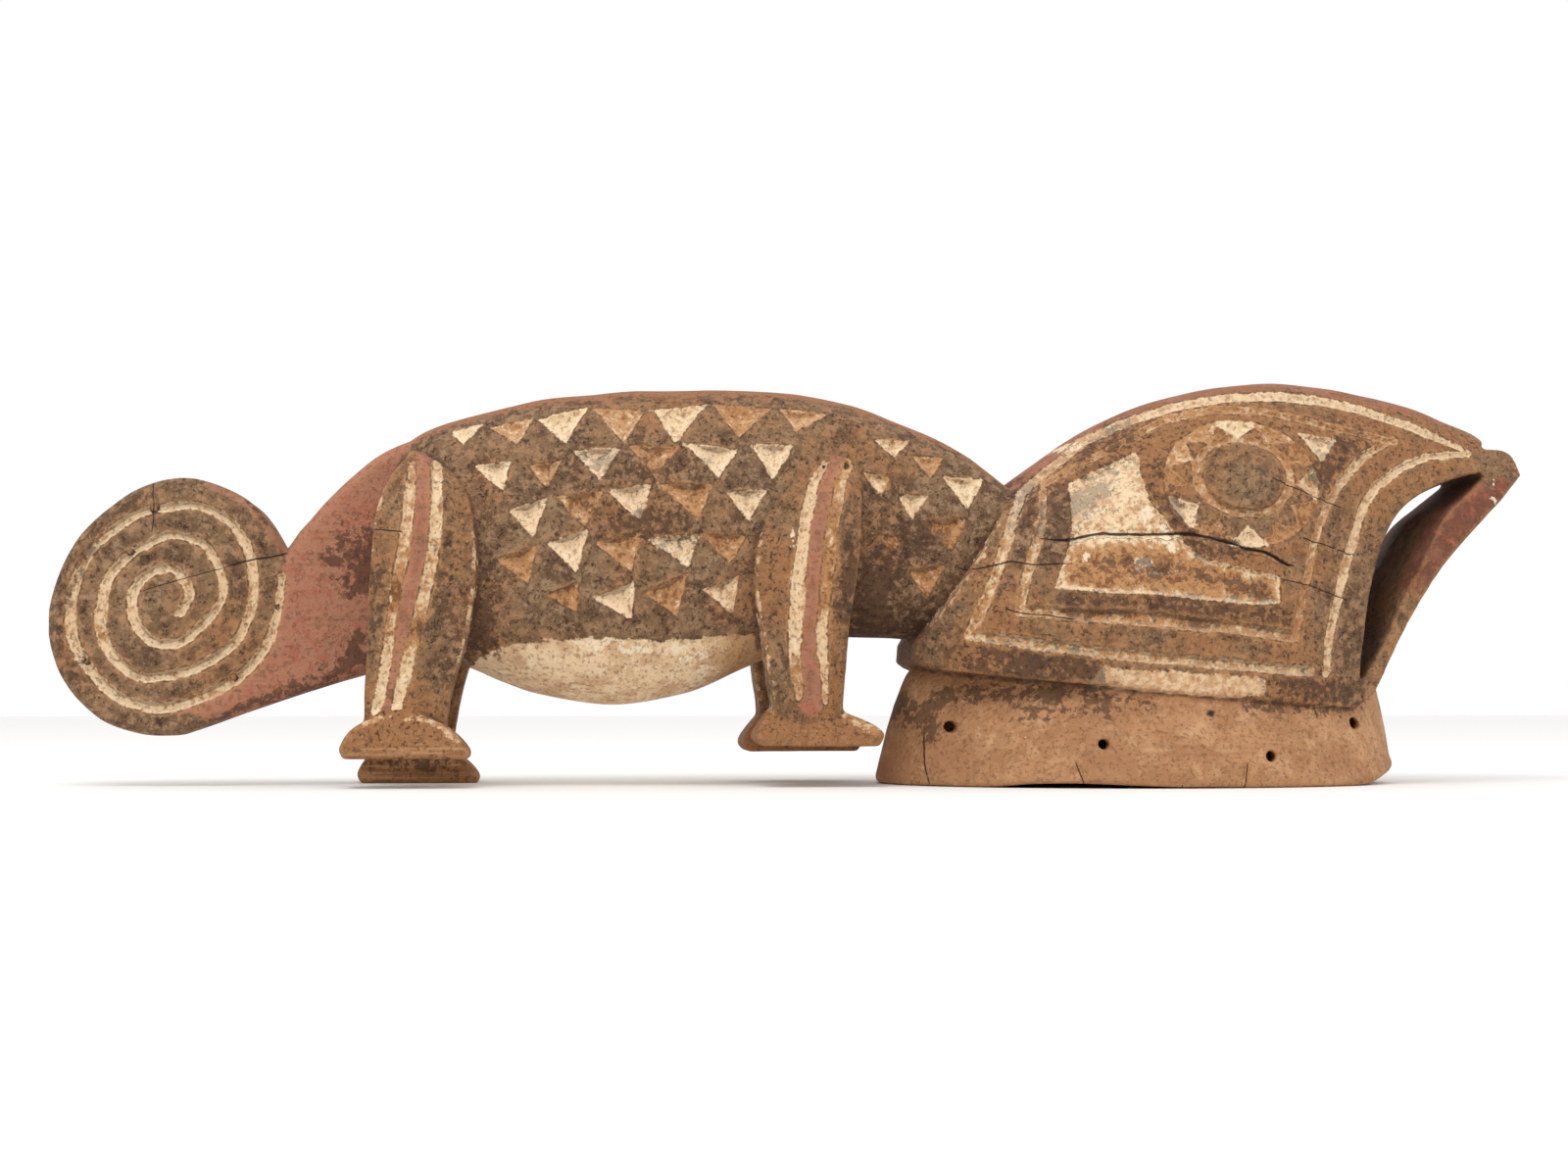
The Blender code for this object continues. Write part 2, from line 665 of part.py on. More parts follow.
join(mask, make_cavity(), "DIFFERENCE")
join(mask, make_mouth(), "DIFFERENCE")
join(mask, merge("tie holes", [make_tie_hole(x, z, side) for x, z in tie_holes
                               for side in (near_side, far_side)]), "DIFFERENCE")
for side in (near_side, far_side):
    body_pits, head_pits = make_pits(side)
    join(mask, merge("body pits", body_pits), "DIFFERENCE")
    join(mask, merge("head pits", head_pits), "DIFFERENCE")
    join(mask, make_spiral(side), "DIFFERENCE")
    stripes = make_stripes(hind_leg_rear, hind_leg_front, hind_stripes, side, stance[side][2])
    stripes += make_stripes(fore_leg_rear, fore_leg_front, fore_stripes, side, 0.0)
    join(mask, merge("stripes", stripes), "DIFFERENCE")
    for path in (outer_frame, inner_frame_low, inner_frame_high, lip_groove):
        join(mask, groove("head groove", head_surface, side, path,
                          head_groove_width, head_groove_depth), "DIFFERENCE")

mask.data.materials.append(wood_material())
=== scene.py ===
import math

import bmesh
import bpy
import numpy as np
from mathutils.bvhtree import BVHTree
from mathutils.kdtree import KDTree
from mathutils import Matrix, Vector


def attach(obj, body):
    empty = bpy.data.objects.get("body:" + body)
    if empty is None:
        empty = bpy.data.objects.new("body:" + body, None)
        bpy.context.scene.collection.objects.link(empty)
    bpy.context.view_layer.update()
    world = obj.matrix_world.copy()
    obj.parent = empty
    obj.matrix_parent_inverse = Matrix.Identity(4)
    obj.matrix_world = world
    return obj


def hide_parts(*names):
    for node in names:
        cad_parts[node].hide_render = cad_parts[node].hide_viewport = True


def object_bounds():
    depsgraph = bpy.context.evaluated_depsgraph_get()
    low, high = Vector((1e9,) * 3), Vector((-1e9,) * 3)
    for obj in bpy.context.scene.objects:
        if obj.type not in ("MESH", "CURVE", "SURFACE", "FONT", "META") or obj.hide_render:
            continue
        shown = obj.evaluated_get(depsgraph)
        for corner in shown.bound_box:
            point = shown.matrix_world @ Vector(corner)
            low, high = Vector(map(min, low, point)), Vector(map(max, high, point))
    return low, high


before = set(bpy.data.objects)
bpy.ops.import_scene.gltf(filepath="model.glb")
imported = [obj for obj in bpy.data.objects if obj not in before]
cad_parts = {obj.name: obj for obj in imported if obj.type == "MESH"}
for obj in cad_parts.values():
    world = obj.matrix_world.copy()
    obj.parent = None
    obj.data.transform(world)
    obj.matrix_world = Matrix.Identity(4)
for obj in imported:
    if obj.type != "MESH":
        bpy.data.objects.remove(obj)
cad_low, cad_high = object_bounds()

# Body. The middle of the mask is a barrel with flat flanks, hewn from the same dry log as the
# tail, the legs, the head and the collar. Lengths are millimetres from the tail's outer edge,
# heights are from the ground, widths from the middle plane, and the side that shows is at -Y.
MM = 0.001
middle_length = 448.0
near_side, far_side = -1.0, 1.0
body_back = [(190, 192), (222, 214), (258, 225), (293, 233), (347, 238), (401, 239), (437, 238),
             (473, 232), (510, 219), (546, 202), (572, 182), (610, 160)]
body_belly = [(190, 80), (222, 78), (247, 70), (266, 62), (287, 55), (331, 48), (373, 54),
              (416, 72), (445, 83), (476, 89), (515, 88), (560, 92), (610, 96)]
body_half_width = [(190, 18), (218, 41), (242, 52), (270, 56), (330, 59), (390, 60), (440, 55),
                   (490, 49), (530, 48), (570, 50), (610, 44)]
body_squareness = 2.7
body_stations = 90
body_sides = 84
hewn = []


def read_curve(curve, x):
    """Heights of a smooth curve that never overshoots its points, for an array of x."""
    xs, ys = np.array(curve, float).T
    slopes = np.diff(ys) / np.diff(xs)
    before, after = slopes[:-1], slopes[1:]
    total = np.where(before + after == 0, 1, before + after)
    inner = np.where(before * after > 0, 2 * before * after / total, 0)
    tangents = np.concatenate([slopes[:1], inner, slopes[-1:]])
    x = np.clip(x, xs[0], xs[-1])
    i = np.clip(np.searchsorted(xs, x, side="right") - 1, 0, len(slopes) - 1)
    span = xs[i + 1] - xs[i]
    t = (x - xs[i]) / span
    return (ys[i] * (1 + 2 * t) * (1 - t) ** 2 + tangents[i] * span * t * (1 - t) ** 2
            + ys[i + 1] * t * t * (3 - 2 * t) + tangents[i + 1] * span * t * t * (t - 1))


def loft(name, rings):
    """A closed solid skinned over rings of equal length, with a cap at each end."""
    rings = np.array(rings, float)
    count, size = rings.shape[:2]
    here = np.arange(size)
    there = (here + 1) % size
    faces = [tuple(range(size)), tuple(range((count - 1) * size, count * size))]
    for r in range(count - 1):
        low, high = r * size, (r + 1) * size
        faces += np.stack([low + here, low + there, high + there, high + here], 1).tolist()
    mesh = bpy.data.meshes.new(name)
    mesh.from_pydata(rings.reshape(-1, 3), [], faces)
    shape = bmesh.new()
    shape.from_mesh(mesh)
    bmesh.ops.recalc_face_normals(shape, faces=shape.faces)
    shape.to_mesh(mesh)
    shape.free()
    solid = bpy.data.objects.new(name, mesh)
    bpy.context.scene.collection.objects.link(solid)
    return solid


def superellipse(turns, squareness):
    """Points round a squarish oval of half size one."""
    across, up = np.cos(turns), np.sin(turns)
    return (np.sign(across) * np.abs(across) ** (2 / squareness),
            np.sign(up) * np.abs(up) ** (2 / squareness))


rings = []
for x in np.linspace(body_back[0][0], body_back[-1][0], body_stations):
    back, belly = read_curve(body_back, x), read_curve(body_belly, x)
    turns = 2 * math.pi * (np.arange(body_sides) + 0.5) / body_sides
    across, up = superellipse(turns, body_squareness)
    rings.append(np.stack([np.full(body_sides, x), read_curve(body_half_width, x) * across,
                           (back + belly) / 2 + up * (back - belly) / 2], 1))
body = loft("body", rings)
hewn.append(body)

# Tail. The log is thinned to a plate whose end is curled into a disc. The plate's edges are
# chamfered with a knife, which shows as a light strip along its upper and lower edge.
tail_half_thickness = 22.0
tail_chamfer = 5.0
disc_outline = [(138, 139), (121, 165), (94, 180), (70, 182), (43, 171), (16, 145), (1, 104),
                (7, 68), (28, 42), (54, 31), (76, 30)]
tail_top_edge = [(146, 151), (168, 176), (196, 199), (235, 215)]
tail_bottom_edge = [(262, 76), (187, 67), (76, 30)]


def smooth_points(points, per_span, closed=False):
    """Points on a smooth curve that passes through every given point."""
    points = np.array(points, float)
    count = len(points)
    spans = count if closed else count - 1
    t = (np.arange(per_span) / per_span)[:, None]
    result = []
    for i in range(spans):
        near = [i - 1, i, i + 1, i + 2]
        near = [k % count if closed else min(max(k, 0), count - 1) for k in near]
        a, b, c, d = points[near]
        result.append(0.5 * (2 * b + (c - a) * t + (2 * a - 5 * b + 4 * c - d) * t ** 2
                             + (3 * b - a - 3 * c + d) * t ** 3))
    if not closed:
        result.append(points[-1:])
    return np.concatenate(result)


def inset(outline, distance):
    """The closed outline moved inwards by a distance."""
    before, after = np.roll(outline, 1, axis=0), np.roll(outline, -1, axis=0)
    area = np.sum(outline[:, 0] * after[:, 1] - after[:, 0] * outline[:, 1])
    side_in, side_out = outline - before, after - outline
    side_in /= np.linalg.norm(side_in, axis=1)[:, None]
    side_out /= np.linalg.norm(side_out, axis=1)[:, None]
    normal_in = np.stack([-side_in[:, 1], side_in[:, 0]], 1) * np.sign(area)
    normal_out = np.stack([-side_out[:, 1], side_out[:, 0]], 1) * np.sign(area)
    middle = normal_in + normal_out
    middle /= np.linalg.norm(middle, axis=1)[:, None]
    reach = distance / np.maximum(np.sum(middle * normal_in, axis=1), 0.5)
    return outline + middle * reach[:, None]


def plate(name, outline, inner, outer, ease, steps=1):
    """An outline of the side view as a board between two widths, with eased edges."""
    outward = math.copysign(1, outer - inner)
    levels = [(ease * (1 - math.sin(turn)), ease * (1 - math.cos(turn)))
              for turn in np.linspace(0, math.pi / 2, steps + 1)] if ease else [(0.0, 0.0)]
    rings = [(inward, inner + outward * drop) for inward, drop in levels]
    rings += [(inward, outer - outward * drop) for inward, drop in reversed(levels)]
    shapes = []
    for inward, y in rings:
        edge = inset(outline, inward) if inward else outline
        shapes.append(np.stack([edge[:, 0], np.full(len(edge), y), edge[:, 1]], 1))
    return loft(name, shapes)


tail_outline = np.concatenate([smooth_points(disc_outline, 8)[:-1],
                               smooth_points(tail_bottom_edge[::-1], 6),
                               smooth_points(tail_top_edge[::-1], 6)])
hewn.append(plate("tail", tail_outline, -tail_half_thickness, tail_half_thickness, tail_chamfer))

# Legs and feet. Each leg is a leaf-shaped haunch on the flank that runs down to a free leg and
# ends in a foot with a flat sole. The soles are at four heights, and only one meets the ground.
hind_leg_rear = [(14, 188), (41, 188), (90, 190), (124, 191), (156, 193), (180, 201), (197, 213)]
hind_leg_front = [(14, 231), (57, 238), (82, 245), (107, 250), (124, 252), (160, 249), (182, 238),
                  (197, 219)]
fore_leg_rear = [(22, 424), (44, 425), (66, 422), (92, 418), (120, 414), (135, 415), (159, 422),
                 (186, 438), (211, 461)]
fore_leg_front = [(22, 466), (44, 466), (73, 468), (95, 470), (120, 474), (150, 477), (181, 478),
                  (200, 473), (211, 468)]
leg_face = [(14, 69), (60, 69), (130, 70), (160, 67), (185, 58), (200, 45), (212, 36)]
leg_inner_face = 33.0
leg_inner_bevel = (3.0, 2.0)
leg_end_in_foot = 8.0
haunch_inner_face = 8.0
haunch_foot_height = 92.0
leg_heights = 60
hind_flank = [(0.0, 5.0), (0.13, 0.0), (0.62, 0.0), (1.0, 9.0)]
fore_flank = [(0.0, 8.0), (0.28, 0.0), (0.78, 0.0), (1.0, 6.0)]
far_hind_shift = 2.5
foot_inner_face = 29.0
foot_outer_face = 75.0
foot_ease = 2.0
foot_band = 9.0
hind_foot_slope = (0.96, 0.28)
fore_foot_slope = (0.62, 0.78)
hind_foot_outline = [(177, 0), (175, 7), (184, 19), (204, 27), (225, 24), (240, 14), (248, 5),
                     (248, 0)]
fore_foot_outline = [(418, 0), (414, 6), (421, 18), (430, 24), (460, 24), (467, 20), (482, 13),
                     (489, 7), (486, 0)]


def shave(solid, place, facing):
    """Cuts off what lies beyond a plane, as one stroke of the adze does."""
    shape = bmesh.new()
    shape.from_mesh(solid.data)
    parts = shape.verts[:] + shape.edges[:] + shape.faces[:]
    cut = bmesh.ops.bisect_plane(shape, geom=parts, plane_co=place, plane_no=facing,
                                 clear_outer=True)
    rim = [part for part in cut["geom_cut"] if isinstance(part, bmesh.types.BMEdge)]
    bmesh.ops.edgeloop_fill(shape, edges=rim)
    bmesh.ops.recalc_face_normals(shape, faces=shape.faces)
    shape.to_mesh(solid.data)
    shape.free()


def make_limb(name, rear, front, flank, foot_outline, slope, side, sole, shift):
    """One leg and its foot, on one side of the mask."""
    heights = np.linspace(sole + leg_end_in_foot, rear[-1][0], leg_heights)
    share, drop = np.array(flank, float).T
    cut_x, cut_y = leg_inner_bevel
    rings = []
    for z in heights:
        x0, x1 = read_curve(rear, z) + shift, read_curve(front, z) + shift
        face = read_curve(leg_face, z)
        inner = leg_inner_face if z < haunch_foot_height else haunch_inner_face
        xs = np.concatenate([x0 + (x1 - x0) * share, [x1, x1 - cut_x, x0 + cut_x, x0]])
        ys = np.concatenate([face - drop, [inner + cut_y, inner, inner, inner + cut_y]])
        rings.append(np.stack([xs, side * ys, np.full(len(xs), z)], 1))
    hewn.append(loft(name + " leg", rings))
    outline = smooth_points(foot_outline, 6) + (shift, sole)
    foot = plate(name + " foot", outline, side * foot_inner_face, side * foot_outer_face,
                 foot_ease, 3)
    shave(foot, (0, side * foot_outer_face, sole + foot_band), (0, side * slope[0], slope[1]))
    hewn.append(foot)


make_limb("hind near", hind_leg_rear, hind_leg_front, hind_flank, hind_foot_outline,
          hind_foot_slope, near_side, 17.0, 0.0)
make_limb("hind far", hind_leg_rear, hind_leg_front, hind_flank, hind_foot_outline,
          hind_foot_slope, far_side, 0.0, far_hind_shift)
make_limb("fore near", fore_leg_rear, fore_leg_front, fore_flank, fore_foot_outline,
          fore_foot_slope, near_side, 24.0, 0.0)
make_limb("fore far", fore_leg_rear, fore_leg_front, fore_flank, fore_foot_outline,
          fore_foot_slope, far_side, 19.0, 0.0)

# Head. A tall pillow form with a narrow crest, sawn and hewn to the outline of its side view.
# The mouth is a lens-shaped slot, cut right through from both cheeks, so it is narrowest midway.
head_crest = [(572, 182), (593, 197), (620, 215), (648, 229), (676, 238), (705, 244), (742, 247),
              (771, 245), (799, 240), (827, 233), (852, 223), (866, 217), (871, 211)]
upper_lip = [(868, 206), (874, 206), (881, 202), (886, 190)]
jaw_front = [(873, 175), (854, 155), (834, 133), (817, 109), (804, 87), (793, 66), (785, 53),
             (774, 46)]
jaw_bulge = 10.0
jaw_bulge_half_width = 50.0
head_base = [(774, 46), (640, 57), (543, 66), (520, 70), (511, 74)]
head_rear = [(512, 85), (531, 110), (546, 134), (560, 156), (564, 173)]
head_half_width = [(502, 6), (508, 30), (517, 48), (531, 65), (560, 79), (620, 86), (680, 87),
                   (730, 80), (770, 66), (800, 59), (840, 55), (870, 50), (885, 44), (900, 34)]
head_foot_height = 45.0
head_block_foot = 30.0
head_block_spare = 6.0
head_crest_half_width = 11.0
head_arch = 3.0
head_stations = 110
head_levels = 46
head_level_power = 1.5
head_views = 25
mouth_rear_edge = [(778, 63), (781, 92), (786, 119), (796, 149), (811, 170), (838, 185), (866, 190)]
mouth_front_edge = [(852, 176), (836, 160), (822, 137), (806, 110), (793, 84)]
mouth_cut_half_width = 130.0
mouth_cheek_half_width = 58.0
mouth_narrowing = 7.5
mouth_across = (0.83, -0.56)


def head_surface(x, z):
    """Half width of the head: full at the cheek, arched in to the narrow crest."""
    crest = np.where(x < head_crest[-2][0], read_curve(head_crest, x), head_crest[-2][1])
    share = np.clip((z - head_foot_height) / (crest - head_foot_height), 0, 1)
    cheek = read_curve(head_half_width, x)
    tip = np.minimum(head_crest_half_width, cheek)
    return tip + (cheek - tip) * np.sqrt(1 - share ** head_arch)


def combine(first, other, operation):
    """Joins, cuts or trims a solid with another one, which is then cleared away."""
    boolean = first.modifiers.new(operation, "BOOLEAN")
    boolean.operation = operation
    boolean.object = other
    boolean.solver = "EXACT"
    bpy.context.view_layer.update()
    seen = first.evaluated_get(bpy.context.evaluated_depsgraph_get())
    mesh = bpy.data.meshes.new_from_object(seen)
    first.modifiers.clear()
    first.data = mesh


rings = []
for x in np.linspace(head_half_width[0][0], head_half_width[-1][0], head_stations):
    crest = read_curve(head_crest, x) + head_block_spare
    share = 1 - (1 - np.linspace(0, 1, head_levels)) ** head_level_power
    heights = np.append(head_block_foot, head_foot_height + (crest - head_foot_height) * share)
    widths = head_surface(np.full(len(heights), x), heights)
    column = np.stack([np.full(len(heights), x), widths, heights], 1)
    rings.append(np.concatenate([column, column[::-1] * (1, -1, 1)]))
head = loft("head", rings)

views = []
chin_line = np.concatenate([smooth_points(upper_lip[1:], 4), smooth_points(jaw_front, 5)[:-1]])
for share in np.concatenate([[-3.0], np.linspace(-1, 1, head_views), [3.0]]):
    bulge = jaw_bulge * max(1 - share * share, 0.0)
    outline = np.concatenate([smooth_points(head_crest, 4), upper_lip[:1], chin_line + (bulge, 0),
                              smooth_points(head_base, 4), smooth_points(head_rear, 4)])
    width = np.full(len(outline), jaw_bulge_half_width * share)
    views.append(np.stack([outline[:, 0], width, outline[:, 1]], 1))
side_view = loft("side view", views)
combine(head, side_view, "INTERSECT")
views = []
for width, narrowing in ((-mouth_cut_half_width, 0.0), (-mouth_cheek_half_width, 0.0),
                         (0.0, mouth_narrowing), (mouth_cheek_half_width, 0.0),
                         (mouth_cut_half_width, 0.0)):
    edges = []
    for edge, inwards in ((mouth_rear_edge, narrowing), (mouth_front_edge, -narrowing)):
        taper = np.sqrt(np.sin(math.pi * np.linspace(0, 1, len(edge))).clip(0))
        edges.append(np.array(edge, float) + np.outer(taper * inwards, mouth_across))
    outline = smooth_points(np.concatenate(edges), 6, closed=True)
    views.append(np.stack([outline[:, 0], np.full(len(outline), width), outline[:, 1]], 1))
mouth = loft("mouth", views)
combine(head, mouth, "DIFFERENCE")
hewn.append(head)

# Collar. A flared oval tube of bare wood under the head, hollowed with a gouge up into the head
# so that the mask goes over the wearer's head. Eight holes for ties are burnt near its rim.
collar_centre = 654.0
collar_half_length = 161.0
collar_half_width = 112.0
collar_wall = 14.0
collar_rim_ease = 5.0
collar_neck_height = 71.0
collar_neck_half_length = 143.0
collar_neck_half_width = 66.0
collar_neck_centre = 659.0
collar_root_height = 84.0
collar_root_share = 0.82
collar_front_lift = 8.0
collar_front_lift_start = 775.0
collar_flare_power = 0.7
collar_sides = 128
cavity_half_length = 110.0
cavity_half_width = 74.0
cavity_shoulder = 54.0
cavity_top = 168.0
cavity_centre = 652.0
tie_hole_radius = 3.6
tie_holes = [(531, 35), (614, 25), (713, 18), (775, 37)]
tie_hole_reach = (40.0, 130.0)


def oval(centre, half_length, half_width, height):
    """A level ring of points on an oval."""
    turns = 2 * math.pi * (np.arange(collar_sides) + 0.5) / collar_sides
    return np.stack([centre + half_length * np.cos(turns), half_width * np.sin(turns),
                     np.full(collar_sides, height)], 1)


def collar_ring(height, inwards):
    """A ring of the collar's outer or inner face at a height."""
    flare = (1 - min(max(height / collar_neck_height, 0.0), 1.0)) ** collar_flare_power
    centre = collar_neck_centre + (collar_centre - collar_neck_centre) * flare
    half_length = collar_neck_half_length + (collar_half_length - collar_neck_half_length) * flare
    half_width = collar_neck_half_width + (collar_half_width - collar_neck_half_width) * flare
    return oval(centre, half_length - inwards, half_width - inwards, height)


rings = []
front_reach = collar_centre + collar_half_length - collar_front_lift_start
for turn in np.linspace(0, math.pi / 2, 5):
    ring = collar_ring(collar_rim_ease * (1 - math.cos(turn)),
                       collar_rim_ease * (1 - math.sin(turn)))
    t = np.clip((ring[:, 0] - collar_front_lift_start) / front_reach, 0, 1)
    ring[:, 2] += collar_front_lift * t * t * (3 - 2 * t)
    rings.append(ring)
for height in np.linspace(18.0, collar_neck_height, 12):
    rings.append(collar_ring(height, 0.0))
rings.append(oval(collar_neck_centre, collar_neck_half_length * collar_root_share,
                  collar_neck_half_width * collar_root_share, collar_root_height))
collar = loft("collar", rings)

rings = [collar_ring(height, collar_wall) for height in (-6.0, 3.0, 11.0, 20.0, 27.0, 34.0)]
for turn in np.radians(np.linspace(0, 60, 14)):
    rings.append(oval(cavity_centre, cavity_half_length * math.cos(turn),
                      cavity_half_width * math.cos(turn),
                      cavity_shoulder + (cavity_top - cavity_shoulder) * math.sin(turn)))
cavity = loft("cavity", rings)
for solid in (body, head, collar):
    combine(solid, cavity, "DIFFERENCE")
turns = 2 * math.pi * np.arange(20) / 20
for side in (near_side, far_side):
    for x, z in tie_holes:
        ring = np.stack([x + tie_hole_radius * np.cos(turns),
                         z + tie_hole_radius * np.sin(turns)], 1)
        drill = plate("drill", ring, side * tie_hole_reach[0], side * tie_hole_reach[1], 0)
        combine(collar, drill, "DIFFERENCE")
        bpy.data.objects.remove(drill)
hewn.append(collar)

# One log. The hewn forms are really one piece of wood, so they are fused into one even skin,
# which is softened a little where the forms meet. Each point of it remembers its own form.
skin_spacing = 1.25
softening_rounds = 3
softening_strength = 0.5
forms = ["body", "tail", "hind near leg", "hind near foot", "hind far leg", "hind far foot",
         "fore near leg", "fore near foot", "fore far leg", "fore far foot", "head", "collar"]


def mesh_arrays(mesh):
    """Points and triangles of a mesh."""
    points = np.empty(len(mesh.vertices) * 3, np.float32)
    mesh.vertices.foreach_get("co", points)
    mesh.calc_loop_triangles()
    triangles = np.empty(len(mesh.loop_triangles) * 3, np.int32)
    mesh.loop_triangles.foreach_get("vertices", triangles)
    return points.reshape(-1, 3).astype(float), triangles.reshape(-1, 3)


def find_nearest(tree, points, limit):
    """Index of the nearest face of a tree and the distance to it, for every point."""
    index, distance = np.full(len(points), -1), np.full(len(points), limit)
    for i, point in enumerate(points.tolist()):
        found = tree.find_nearest(point, limit)
        if found[2] is not None:
            index[i], distance[i] = found[2], found[3]
    return index, distance


all_points, all_triangles, face_form, first_point = [], [], [], 0
for solid in hewn:
    points, triangles = mesh_arrays(solid.data)
    all_points.append(points)
    all_triangles.append(triangles + first_point)
    face_form.append(np.full(len(triangles), forms.index(solid.name)))
    first_point += len(points)
all_points, all_triangles = np.concatenate(all_points), np.concatenate(all_triangles)
face_form = np.concatenate(face_form)
form_tree = BVHTree.FromPolygons(all_points.tolist(), all_triangles.tolist())
cavity_tree = BVHTree.FromPolygons(*[a.tolist() for a in mesh_arrays(cavity.data)])
mouth_tree = BVHTree.FromPolygons(*[a.tolist() for a in mesh_arrays(mouth.data)])

mesh = bpy.data.meshes.new("carved mask")
mesh.from_pydata(all_points, [], all_triangles.tolist())
mask = bpy.data.objects.new("carved_mask", mesh)
bpy.context.scene.collection.objects.link(mask)
for solid in hewn + [side_view, mouth, cavity]:
    bpy.data.objects.remove(solid)


def apply_modifier(piece, kind, settings):
    """Adds a modifier to a piece and applies it to the mesh."""
    modifier = piece.modifiers.new(kind, kind)
    for name, value in settings.items():
        setattr(modifier, name, value)
    bpy.context.view_layer.update()
    seen = piece.evaluated_get(bpy.context.evaluated_depsgraph_get())
    shaped = bpy.data.meshes.new_from_object(seen)
    piece.modifiers.clear()
    piece.data = shaped


apply_modifier(mask, "REMESH", {"mode": "VOXEL", "voxel_size": skin_spacing})


def mesh_edges(mesh):
    """The two ends of every edge."""
    edges = np.empty(len(mesh.edges) * 2, np.int32)
    mesh.edges.foreach_get("vertices", edges)
    return edges.reshape(-1, 2)


def spread(values, edges, rounds, strength):
    """Values of every point evened out with those of its neighbours."""
    values = values.astype(float)
    count = np.bincount(edges.ravel(), minlength=len(values)).astype(float)
    count = np.maximum(count, 1)
    for _ in range(rounds):
        columns = []
        for column in values.reshape(len(values), -1).T:
            total = np.bincount(edges[:, 0], column[edges[:, 1]], len(values))
            total += np.bincount(edges[:, 1], column[edges[:, 0]], len(values))
            columns.append(column + strength * (total / count - column))
        values = np.stack(columns, 1).reshape(values.shape)
    return values


def point_normals(points, triangles):
    """Smooth normals of every point."""
    a, b, c = (points[triangles[:, k]] for k in range(3))
    face = np.cross(b - a, c - a)
    normals = np.stack([sum(np.bincount(triangles[:, k], face[:, axis], len(points))
                            for k in range(3)) for axis in range(3)], 1)
    return normals / np.maximum(np.linalg.norm(normals, axis=1), 1e-9)[:, None]


points, triangles = mesh_arrays(mask.data)
edges = mesh_edges(mask.data)
points = spread(points, edges, softening_rounds, softening_strength)
normals = point_normals(points, triangles)
nearest, _ = find_nearest(form_tree, points, 12.0)
form = face_form[nearest]

# Hand work. No surface of the mask is even: the adze leaves soft facets, and every line of the
# carving wavers. Both come from seeded lumps of a given size.
adze_lump = 26.0
adze_depth = 0.45
knife_lump = 7.0
knife_depth = 0.14
waver_lump = 16.0
waver_reach = 0.8
nick_lump = 3.6
nick_reach = 0.35
lattice_size = 64
lattice = np.random.default_rng(11).uniform(-1, 1, (lattice_size,) * 3)


def lumps(points, size, shift):
    """A smooth uneven field between about -1 and 1, with lumps of the given size."""
    place = points / size + shift
    cell = np.floor(place).astype(int)
    share = place - cell
    share = share * share * (3 - 2 * share)
    total = np.zeros(len(points))
    for corner in np.ndindex(2, 2, 2):
        weight = np.prod(np.where(corner, share, 1 - share), axis=1)
        total += weight * lattice[tuple(((cell + corner) % lattice_size).T)]
    return total


def wavering(points):
    """Side view places of points, shifted as an unsteady hand would cut them."""
    x = points[:, 0] + waver_reach * lumps(points, waver_lump, 3.3)
    z = points[:, 2] + waver_reach * lumps(points, waver_lump, 19.7)
    x += nick_reach * lumps(points, nick_lump, 7.1)
    z += nick_reach * lumps(points, nick_lump, 31.9)
    return x, z


# Pits of the body. Each is chipped out of the flank with three strokes, steep under its upper
# edge. They are painted in turns with white and with ochre. Given are the two ends of the upper
# edge, the lower tip and the paint, from 0 for umber over ochre to 1 for white.
pits = [
    ((236, 209), (254, 214), (243, 201), 0.85), ((259, 212), (284, 218), (275, 201), 0.5),
    ((287, 217), (317, 225), (303, 201), 0.9), ((320, 223), (350, 222), (337, 202), 0.5),
    ((356, 223), (386, 226), (367, 202), 0.8), ((391, 226), (425, 225), (405, 206), 0.4),
    ((430, 225), (460, 222), (440, 210), 0.5),
    ((250, 188), (272, 191), (267, 174), 1.0), ((282, 188), (300, 191), (292, 175), 0.45),
    ((307, 197), (336, 199), (324, 180), 0.85), ((340, 200), (369, 200), (356, 181), 0.4),
    ((374, 202), (404, 198), (393, 181), 0.95), ((412, 202), (438, 202), (425, 181), 0.85),
    ((271, 161), (293, 169), (285, 146), 0.95), ((298, 170), (326, 173), (314, 152), 0.4),
    ((328, 173), (354, 177), (347, 156), 0.9), ((358, 177), (389, 177), (381, 156), 0.4),
    ((397, 173), (422, 175), (411, 157), 0.85),
    ((264, 133), (286, 141), (282, 119), 0.4), ((292, 142), (317, 150), (310, 125), 0.95),
    ((320, 142), (348, 149), (342, 126), 0.4), ((351, 145), (381, 149), (375, 128), 0.95),
    ((382, 149), (409, 148), (400, 131), 0.35),
    ((293, 112), (311, 119), (310, 102), 0.3), ((320, 110), (344, 120), (342, 98), 0.95),
    ((350, 114), (375, 125), (368, 100), 0.4), ((384, 116), (405, 123), (401, 101), 0.75),
    ((487, 207), (509, 206), (499, 196), 0.65), ((510, 197), (530, 197), (521, 184), 0.4),
    ((528, 184), (553, 183), (543, 165), 0.85), ((479, 186), (495, 183), (490, 172), 0.6),
    ((500, 173), (519, 173), (509, 159), 0.8), ((514, 157), (542, 159), (533, 140), 0.35),
    ((489, 149), (504, 149), (497, 138), 0.3), ((507, 128), (529, 131), (518, 111), 0.4),
]
pit_depth = 4.4
pit_steep, pit_gentle = 1.7, 0.62
cuts = []


def ease_in(value, low, high):
    """Smooth step from 0 at low to 1 at high."""
    share = np.clip((value - low) / (high - low), 0, 1)
    return share * share * (3 - 2 * share)


